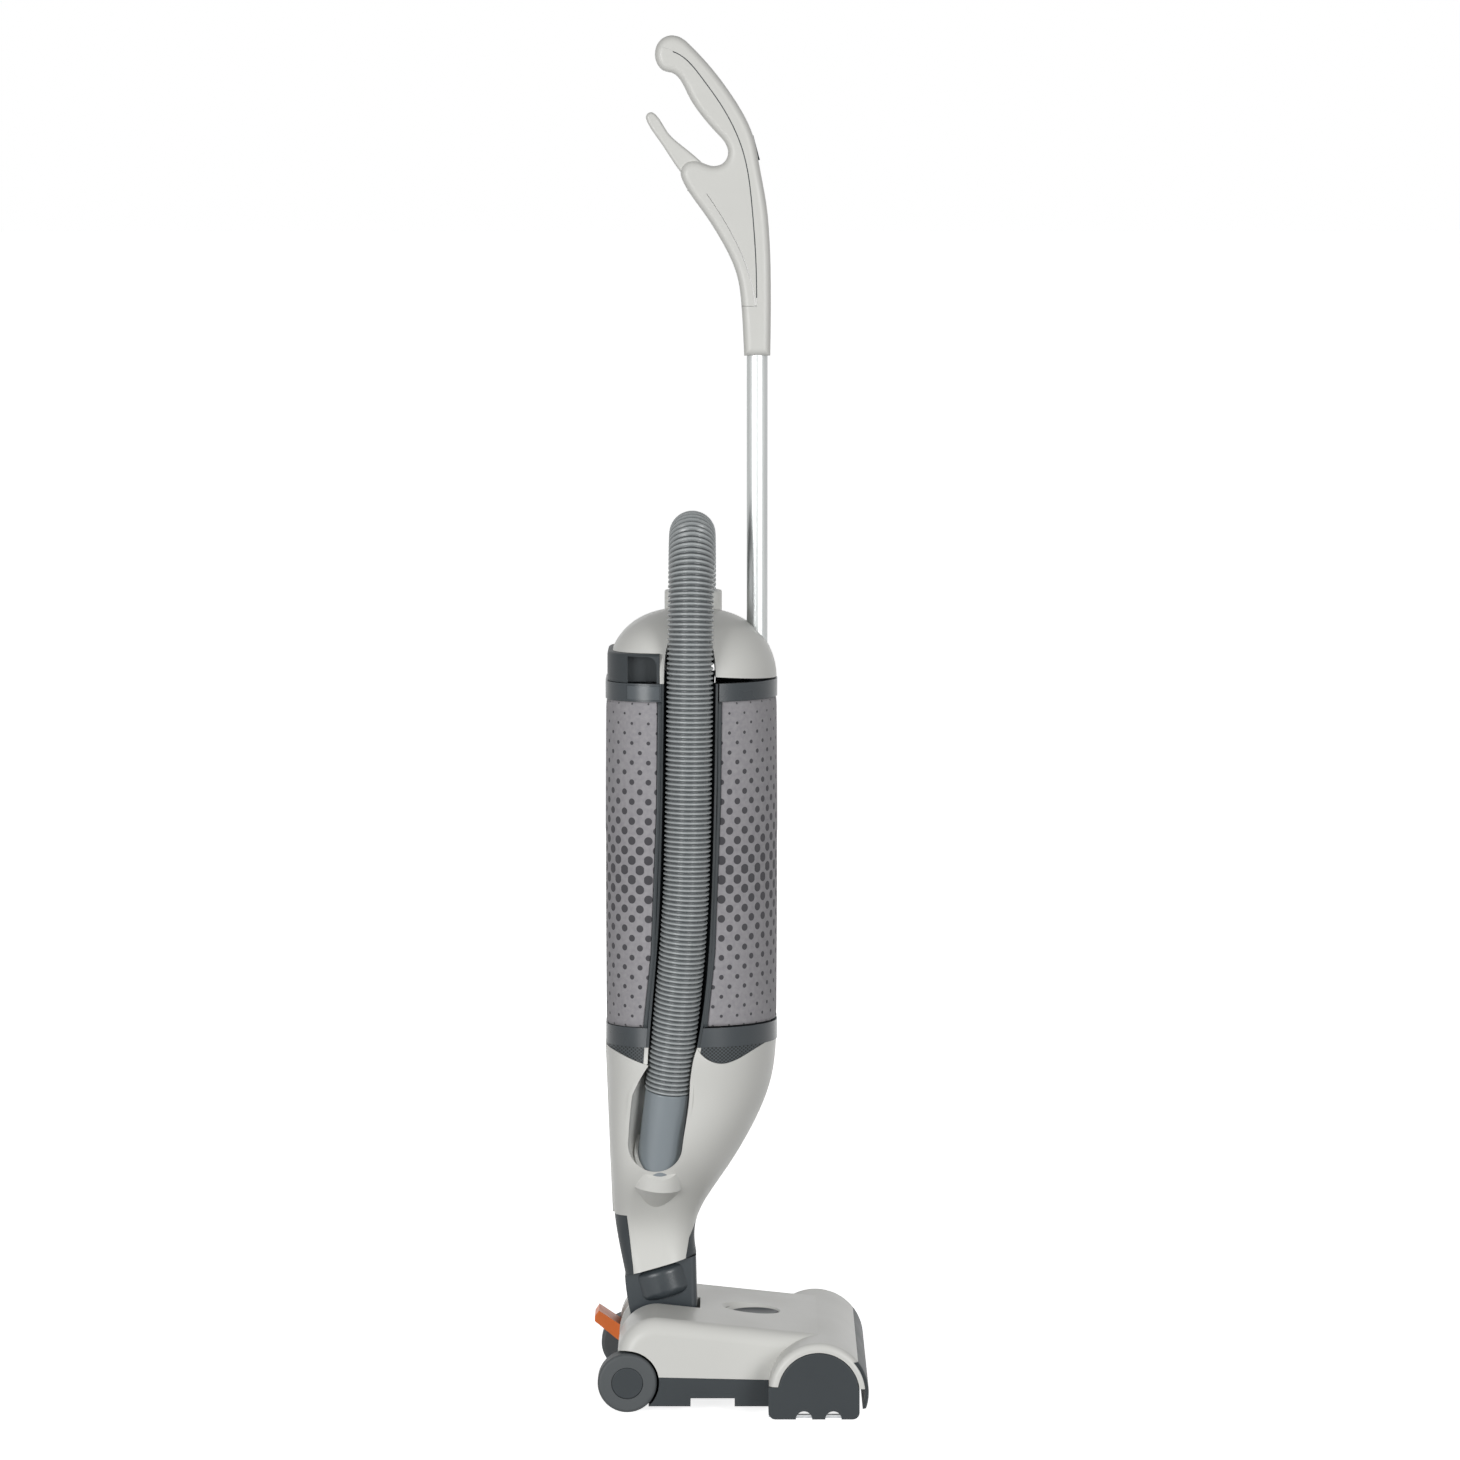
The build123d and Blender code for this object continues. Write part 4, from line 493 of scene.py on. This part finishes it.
def trough_edges(z):
    """X of the rear and front edges of the hose's trough on the near side, at heights z."""
    middle = np.interp(z, trough_height, trough_middle)
    return middle - trough_half, middle + trough_half


def door_edge(z):
    """X of the sloping edge between the fixed rear and the front door."""
    return split_low_x + (split_top_x - split_low_x) * (z - sleeve_low) / (sleeve_high - sleeve_low)


def cloth_panel(name, start, end, low, high):
    """Cloth between two edges: the distance round the column runs from start to end, the height from low to
    high. It stands out by a sine of the height's share and dips at all four edges as the sixtieth power of
    the way to the edge. Its map is the distance and the height in metres."""
    z = np.linspace(low, high, 110)[:, None]
    share = np.linspace(0, 1, 220)[None]
    distance = start(z) + (end(z) - start(z)) * share
    rise = (z - low) / (high - low)
    dip = np.abs(2 * share - 1) ** 60 + np.abs(2 * rise - 1) ** 60
    proud = cloth_bulge * np.sin(np.pi * rise) - cloth_dip * dip
    x, y = round_column(distance, proud)
    points = np.stack([x, y, np.broadcast_to(z, x.shape)], axis=-1)
    chart = np.stack([distance, points[..., 2]], axis=-1)
    piece = surface(name, points, uv=chart)
    wall = piece.modifiers.new("thickness", "SOLIDIFY")
    wall.thickness = cloth_thickness
    wall.offset = -1.0
    return piece


def edging(name, middle, low):
    """Narrow strip along an edge of the cloth, carried up the line middle(z). Its profile is a flattened
    half-oval, whose height goes as the 0.6 power of a sine, on a square root that sinks into the column."""
    z = np.linspace(low, sleeve_high - edging_inset, 80)[:, None]
    turn = np.linspace(0, np.pi, 13)
    half = edging_width / 2
    side = np.concatenate([-np.cos(turn) * half, [half, -half]])[None]
    out = np.concatenate([np.sin(turn) ** 0.6 * edging_height, [-edging_root, -edging_root]])[None]
    x, y = round_column(middle(z) + side, out)
    points = np.stack([x, y, np.broadcast_to(z, x.shape)], axis=-1)
    return surface(name, with_caps(points), wrap_v=True, weld=True)


def make_sleeves(cloth, strip):
    """Rear and front cloth panels with dark edging along the hose's trough and the door's edges."""

    def rear_start(z):
        return near_side(trough_edges(z)[0] - edging_width) - outline_total

    def rear_end(z):
        return far_side(door_edge(z) - door_gap)

    def front_start(z):
        return far_side(door_edge(z) + door_gap)

    def front_end(z):
        return near_side(np.maximum(door_edge(z) + door_gap, trough_edges(z)[1]) + edging_width)

    low, high = sleeve_low + cloth_inset, sleeve_high - cloth_inset
    rear = cloth_panel("rear_cloth", rear_start, rear_end, low, high)
    front = cloth_panel("front_cloth", front_start, front_end, low + door_lift, high)
    dress(rear, cloth, "column", "sleeve_fabric", "rear_sleeve")
    dress(front, cloth, "door", "sleeve_fabric", "front_sleeve")
    strips = [
        ("rear_edging", lambda z: rear_start(z) - edging_width / 2, "column", sleeve_low),
        ("front_edging", lambda z: front_end(z) + edging_width / 2, "door", sleeve_low + door_lift),
    ]
    for name, middle, body, low in strips:
        dress(edging(name, middle, low), strip, body, "casing_dark")


# Panel on the back of the lower housing, in millimetres

housing_seam = 159.0
housing_top = 311.0
panel_low = 159.5
panel_top = 310.5
seam_back = -101.0
back_lean = 6.0
panel_foot_half = 15.0
panel_spread = 13.2
panel_rate = 2.4


def make_rear_panel(material):
    """Shallow raised panel: a rounded bar profile carried up the housing's back, which leans evenly from the
    neck's seam to the housing's top. It narrows towards the neck as a sine. It covers the slot that the solid
    housing has there."""
    z = np.linspace(panel_low, panel_top, 60)[:, None]
    share = (z - housing_seam) / (housing_top - housing_seam)
    back = seam_back - back_lean * share
    half = panel_foot_half + panel_spread * np.sin(np.pi / 2 * np.minimum(1, panel_rate * share))
    across = np.array([-1.0, -1.0, -0.97, -0.9, 0.9, 0.97, 1.0, 1.0])[None]
    out = np.array([-2.6, 0.3, 0.9, 1.1, 1.1, 0.9, 0.3, -2.6])[None]
    points = np.stack(np.broadcast_arrays(back - out, half * across, z), axis=-1) * MM
    piece = surface("rear_panel", with_caps(points), wrap_v=True, weld=True)
    dress(piece, material, "column", "casing_light")


# Dust bag, filter pad and brush strands inside the machine, in millimetres

bag_middle = (-33, 8)
bag_half = (55, 48)
bag_low = 353
bag_height = 236
bag_taper = 4
bag_lean = 4
bag_foot = 0.1
bag_shoulder = 0.78
bag_draw = 0.84
bag_sag = 0.1
bag_creases = ((0.016, 9, 2), (0.010, 22, -7))
pad_middle = (-36, 16, 340.2)
pad_half = 36
pad_half_thickness = 4
pad_waist = 1.0
brush_x = 76.0
brush_z = 22.5
brush_start_y = -129.6
brush_length = 217.2
tufts_per_row = 20
row_twist = 300
strands_per_tuft = 18
tuft_radius = 1.75
strand_rings = np.array([12.0, 17.0, 21.6])
strand_radii = np.array([0.25, 0.24, 0.16])
strand_fan = 0.2


def make_dust_bag(material):
    """Filled paper bag hung from its collar: superellipse sections of power 3 up the height. The sections
    open as a quarter circle at the foot, draw in as an ellipse to the collar, and are a tenth fuller below.
    Shallow upright creases, each with a size, a count and a twist, are cosines of the angle that fade at both
    ends."""
    share = np.linspace(0, 1, 100)[:, None]
    turn = full_turn(180)[None]
    foot = np.sqrt(1 - (1 - np.minimum(share / bag_foot, 1)) ** 2)
    head = np.sqrt(1 - bag_draw * (np.maximum(share - bag_shoulder, 0) / (1 - bag_shoulder)) ** 2)
    crease = sum(size * np.cos(count * turn + twist * share) for size, count, twist in bag_creases)
    full = foot * head * (1 - bag_sag * share ** 2) * (1 + crease * np.sin(np.pi * share))
    along, deep = (np.sign(wave) * np.abs(wave) ** (2 / 3) for wave in (np.cos(turn), np.sin(turn)))
    x = bag_middle[0] + bag_half[0] * full * along
    y = bag_middle[1] + (bag_half[1] - bag_taper * share) * full * deep - bag_lean * share
    z = bag_low + bag_height * share + 0 * turn
    points = np.stack([x, y, z], axis=-1) * MM
    cap = np.repeat(points[-1:].mean(axis=1, keepdims=True), points.shape[1], axis=1)
    piece = surface("paper_bag", np.concatenate([points, cap]), wrap_v=True, flip=True, weld=True)
    dress(piece, material, "column", "paper", "dust_bag")


def make_filter_pad(material):
    """Square fleece pad: two facing grids whose half-thickness goes as the 0.35 power of (1 - u^8)(1 - v^8),
    with sides that pull in by 1 mm between the corners."""
    across = np.linspace(-1, 1, 60)
    u, v = np.meshgrid(across, across, indexing="ij")
    swell = pad_half_thickness * ((1 - u ** 8) * (1 - v ** 8)) ** 0.35
    x = pad_middle[0] + u * (pad_half - pad_waist * (1 - v ** 2))
    y = pad_middle[1] + v * (pad_half - pad_waist * (1 - u ** 2))
    upper = np.stack([x, y, pad_middle[2] + swell], axis=-1)
    lower = np.stack([x, y, pad_middle[2] - swell], axis=-1)[:, ::-1]
    piece = surface("filter_pad", np.stack([upper, lower]) * MM, weld=True)
    dress(piece, material, "column", "filter_pad", "motor_filter")


def make_bristles(material):
    """Two helical rows of nylon tufts: a tuft's strands start in the core on a sunflower spiral and fan out
    by a fifth of their distance from its middle. A strand is a three-ringed, four-sided spike that thins to
    its tip, drawn 0.5 mm thick, about twice the real one, so that it shows."""
    tuft = np.arange(2 * tufts_per_row)
    share = (tuft % tufts_per_row) / (tufts_per_row - 1)
    turn = np.radians(180 * (tuft // tufts_per_row) + row_twist * share)
    out = np.column_stack([np.sin(turn), 0 * turn, np.cos(turn)])
    side = np.column_stack([np.cos(turn), 0 * turn, -np.sin(turn)])
    along = np.array([0.0, 1.0, 0.0])
    middle = np.column_stack([0 * turn + brush_x, brush_start_y + brush_length * share, 0 * turn + brush_z])
    strand = np.arange(strands_per_tuft)
    spread = tuft_radius * np.sqrt((strand + 0.5) / strands_per_tuft)
    spiral = strand * math.pi * (3 - math.sqrt(5))
    fan = 1 + strand_fan * (strand_rings - strand_rings[0]) / np.ptp(strand_rings)
    corner = full_turn(4)
    thick = strand_radii[None, :, None]
    left = (spread * np.cos(spiral))[:, None, None] * fan[None, :, None] + thick * np.cos(corner)
    fore = (spread * np.sin(spiral))[:, None, None] * fan[None, :, None] + thick * np.sin(corner)
    points = (
        middle[:, None, None, None] + out[:, None, None, None] * strand_rings[:, None, None]
        + side[:, None, None, None] * left[..., None] + along * fore[None, ..., None]
    )
    piece = surface("brush_strands", with_caps(points) * MM, wrap_v=True, flip=True, weld=True)
    dress(piece, material, "brush", "bristle", "brush_bristles")


# Dial's collar and cap, and the grip's seam, in millimetres

dial_x = 21.0
dial_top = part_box("height_dial")[1][2] / MM
dial_deck = 71.74
lining_outer = 21.86
lining_inner = 21.7
lining_lift = 0.1
dial_grip_height = 4.0
bevel_depth = 4.0
cap_sink = 2.6


def dial_rings(radius, height):
    """Rings round the dial's axis with the listed radii and heights, in metres."""
    turn = full_turn(120)[None]
    radius = np.array(radius)[:, None]
    height = np.array(height)[:, None]
    return np.stack([dial_x + radius * np.cos(turn), radius * np.sin(turn), height + 0 * turn], axis=-1) * MM


def make_dial_lining(material):
    """Thin collar on the straight wall of the dial's well, from just above the dial's disc to the well's
    bevel: an inner and an outer ring joined top and bottom."""
    low, high = dial_top - dial_grip_height + lining_lift, dial_deck - bevel_depth
    points = dial_rings([lining_outer, lining_outer, lining_inner, lining_inner], [low, high, high, low])
    piece = surface("dial_lining", points, wrap_u=True, wrap_v=True, flip=True)
    dress(piece, material, "head", "casing_dark")


grip_low = 905.0
grip_side = 13.0
seam_level_x = -50
seam_shift = 0.2
grip_seam = np.array([
    (-75.0, 265.0), (-43.5, 259.0), (-25.0, 240.0), (-6.0, 213.0), (11.0, 176.0),
    (19.0, 126.0), (22.3, 77.0), (22.8, 50.0),
])


def line_through(points, count):
    """Points and unit tangents along the natural cubic spline through the points, with the chord as its
    parameter."""
    knot = lengths_along(points)
    step = np.diff(knot)
    slope = np.diff(points, axis=0) / step[:, None]
    matrix = np.eye(len(points))
    bend = np.zeros(points.shape)
    for i in range(1, len(points) - 1):
        matrix[i, i - 1:i + 2] = step[i - 1], 2 * (step[i - 1] + step[i]), step[i]
        bend[i] = 6 * (slope[i] - slope[i - 1])
    bend = np.linalg.solve(matrix, bend)
    along = np.linspace(knot[0], knot[-1], count)
    i = np.clip(np.searchsorted(knot, along, "right") - 1, 0, len(step) - 1)
    late = ((along - knot[i]) / step[i])[:, None]
    early = 1 - late
    curve = (early ** 3 - early) * bend[i] + (late ** 3 - late) * bend[i + 1]
    line = early * points[i] + late * points[i + 1] + curve * step[i, None] ** 2 / 6
    tangent = np.gradient(line, axis=0)
    return line, tangent / np.linalg.norm(tangent, axis=1)[:, None]


def make_grip_seam(material):
    """Shadow line in the grip's long seam: a flat bead 0.9 mm wide on each side face, where the face is
    level."""
    line, tangent = line_through(grip_seam, 400)
    level = line[:, 0] > seam_level_x
    line, tangent = line[level] + (seam_shift, grip_low), tangent[level]
    normal = np.column_stack([tangent[:, 1], -tangent[:, 0]])
    across = np.array([-0.45, -0.3, 0.3, 0.45, 0.3, -0.3])[None, :, None]
    out = np.array([0.0, 0.04, 0.04, 0.0, -0.2, -0.2])[None]
    flat = line[:, None] + normal[:, None] * across
    sides = []
    for side in (-1, 1):
        depth = side * (grip_side + out) + 0 * flat[..., 0]
        sides.append(with_caps(np.stack([flat[..., 0], depth, flat[..., 1]], axis=-1)[:, ::side]))
    piece = surface("grip_seam_line", np.stack(sides) * MM, wrap_v=True, weld=True)
    dress(piece, material, "column", "casing_dark")


def make_dial_cap(material):
    """Low turned cap on the dial: rings round the dial's axis whose radius and height follow the lists."""
    high = dial_deck - cap_sink
    radius = [0.0, 20.9, 20.9, 20.4, 19.6, 18.0, 17.2, 0.0]
    height = [dial_top, dial_top, high - 0.9, high - 0.2, high, high, high - 0.5, high - 0.5]
    piece = surface("dial_cap", dial_rings(radius, height), wrap_v=True, flip=True, weld=True)
    dress(piece, material, "dial", "casing_dark")


# Camera, light and floor, in metres. The lens is worked out from the photograph's own pixels

floor_x = (-6, 6)
floor_y = (-7, 40)
floor_z = -0.3 * MM
floor_glow = 0.82
room_level = 0.16
sensor_width = 36
focal_pixels = 7570
picture_pixels = 1460
camera_position = (0, -6.55, 1.178)
camera_aim = (0, 0, 0.5796)


def sees_background(tree):
    """1 for rays that come from the camera, a mirror-like surface or through glass, else 0."""
    path = add(tree, "ShaderNodeLightPath")
    seen = maths(tree, "MAXIMUM", path.outputs["Is Camera Ray"], path.outputs["Is Glossy Ray"])
    return maths(tree, "MAXIMUM", seen, path.outputs["Is Transmission Ray"])


def make_stage():
    """Pale paper floor. It is lifted to white where it is seen and keeps the machine's shadow; to other
    surfaces it is mid grey, so that little light comes up from it."""
    material, tree, shader = start_material("studio_paper", Roughness=0.95)
    tooth = noise(tree, object_place(tree), 4 * MM, 3.0)
    paper = tones(tree, tooth, srgb("F1F1F0"), srgb("F6F6F5"))
    seen = sees_background(tree)
    tree.links.new(mix_colours(tree, seen, srgb("646464"), paper), shader.inputs["Base Color"])
    shader.inputs["Emission Color"].default_value = srgb("FFFFFF")
    tree.links.new(maths(tree, "MULTIPLY", seen, floor_glow), shader.inputs["Emission Strength"])
    x, y = np.meshgrid(np.linspace(*floor_x, 25), np.linspace(*floor_y, 60), indexing="ij")
    sheet = surface("studio_floor", np.stack([x, y, np.full(x.shape, floor_z)], axis=-1))
    sheet.data.materials.append(material)


def stand(name, data, position, aim):
    """Puts a lamp or a camera at a position, its -Z axis turned to the aim and its Y axis kept upwards."""
    holder = place(name, data)
    holder.location = position
    holder.rotation_euler = (Vector(aim) - Vector(position)).to_track_quat("-Z", "Y").to_euler()
    return holder


def soft_box(name, position, aim, size, watts):
    """Large white rectangular studio lamp turned towards a point."""
    lamp = bpy.data.lights.new(name, "AREA")
    lamp.shape = "RECTANGLE"
    lamp.size, lamp.size_y = size
    lamp.energy = watts
    return stand(name, lamp, position, aim)


def light_studio():
    """Broad lamps left and right of the camera, one behind the machine for its far side, and a dim even room
    that is seen as white."""
    soft_box("left_box", (-2.4, -3.8, 0.9), (0, 0, 0.5), (1.8, 1.8), 118)
    soft_box("right_box", (2.4, -3.8, 1.3), (0, 0, 0.6), (1.6, 1.8), 98)
    back = soft_box("back_box", (0.4, 4.6, 0.9), (0, 0, 0.5), (2.4, 1.6), 90)
    back.visible_glossy = False
    world = bpy.data.worlds.new("studio_room")
    bpy.context.scene.world = world
    world.use_nodes = True
    tree = world.node_tree
    room = tree.nodes["Background"]
    level = maths(tree, "MULTIPLY_ADD", sees_background(tree), 1 - room_level, room_level)
    room.inputs["Color"].default_value = srgb("FFFFFF")
    tree.links.new(level, room.inputs["Strength"])


def aim_camera():
    """Long lens level with the top of the handle, on the near side, as in the photograph."""
    lens = bpy.data.cameras.new("camera")
    lens.sensor_width = sensor_width
    lens.lens = sensor_width * focal_pixels / picture_pixels
    lens.clip_end = 50
    bpy.context.scene.camera = stand("camera", lens, camera_position, camera_aim)


bpy.context.scene.view_settings.view_transform = "Standard"
make_stage()
light_studio()
aim_camera()

# Every node's finish

light_shell = moulded("satin_light_abs", "CDCDC9", 0.36, 2.6, 0.012, 0.012, Specular_IOR_Level=0.28)
dark_shell = moulded("grained_dark_abs", "303538", 0.48, 2.2, 0.04, 0.06, Specular_IOR_Level=0.3)
band_shell = moulded("polished_dark_abs", "353B3F", 0.30, 2.6, 0.012, 0.05, Specular_IOR_Level=0.4)
inner_shell = moulded("plain_grey_abs", "8A8C8D", 0.5, 1.2, 0.05, 0.06)
orange_shell = moulded("orange_abs", "E57430", 0.38, 1.2, 0.03, 0.05)
hose_vinyl = ribbed_vinyl()
grille_shell = perforated_sheet()
cuff_shell = moulded("blue_grey_abs", "7D858A", 0.36, 1.3, 0.03, 0.03)
wheel_rubber = moulded("matt_wheel_rubber", "404446", 0.62, 2.0, 0.06, 0.08)
black_rubber = moulded("black_rubber", "232425", 0.7, 0.9, 0.08, 0.1)
window_shell = moulded("polished_window", "4C5256", 0.26, 2.6, 0.005, 0.04, Specular_IOR_Level=0.35)
nylon = moulded("nylon_bristle", "2B2C2E", 0.5, 0.8, 0.03, 0.15)
tube_metal = drawn_aluminium()
steel = machined_steel("turned_steel", "B9BBBD", 0.32)
motor_steel = machined_steel("pressed_steel", "8F9295", 0.38)
paper_fleece = fleece("paper_fleece", "E2D8C3", "CFC3AB", 2.2)
filter_fleece = fleece("white_filter_fleece", "EDEDEA", "D6D6D2", 1.6)
sleeve_cloth = dotted_filter_cloth()

paint(
    light_shell, "head_cover", "lower_housing", "dome_cover", "grip_front", "grip_rear", "cord_cover",
    "hose_socket",
)
paint(
    dark_shell, "head_base", "front_bumper", "brush_end_cap_right", "brush_end_cap_left", "height_dial",
    "rear_neck_cover", "front_neck_cover", "carry_grip", "channel_trim", "rocker_switch", "top_deck",
    "hub_cap_right", "hub_cap_left",
)
paint(band_shell, "bottom_ring", "top_ring", "door_band", "neck_elbow")
paint(
    inner_shell, "chamber_shell", "door_shell", "chamber_floor", "fan_case", "fan_impeller",
    "suction_duct", "switch_block", "brush_core",
)
paint(cuff_shell, "hose_cuff")
paint(grille_shell, "exhaust_grille")
paint(tube_metal, "handle_tube")
paint(
    steel, "sole_plate", "wheel_axles", "pedal_pin", "tray_screws", "tilt_pins", "swivel_clip", "door_pin",
    "brush_bushes", "head_motor_shaft",
)
paint(motor_steel, "head_motor", "suction_motor")
paint(black_rubber, "drive_belt", "lid_seal", "motor_mounts", "cord_gland")
paint(wheel_rubber, "rear_wheel_right", "rear_wheel_left")
paint(orange_shell, "release_pedal")
paint(window_shell, "bag_window")

make_hose(hose_vinyl)
make_sleeves(sleeve_cloth, dark_shell)
make_rear_panel(light_shell)
make_dust_bag(paper_fleece)
make_filter_pad(filter_fleece)
make_bristles(nylon)
make_dial_lining(dark_shell)
make_dial_cap(dark_shell)
make_grip_seam(dark_shell)
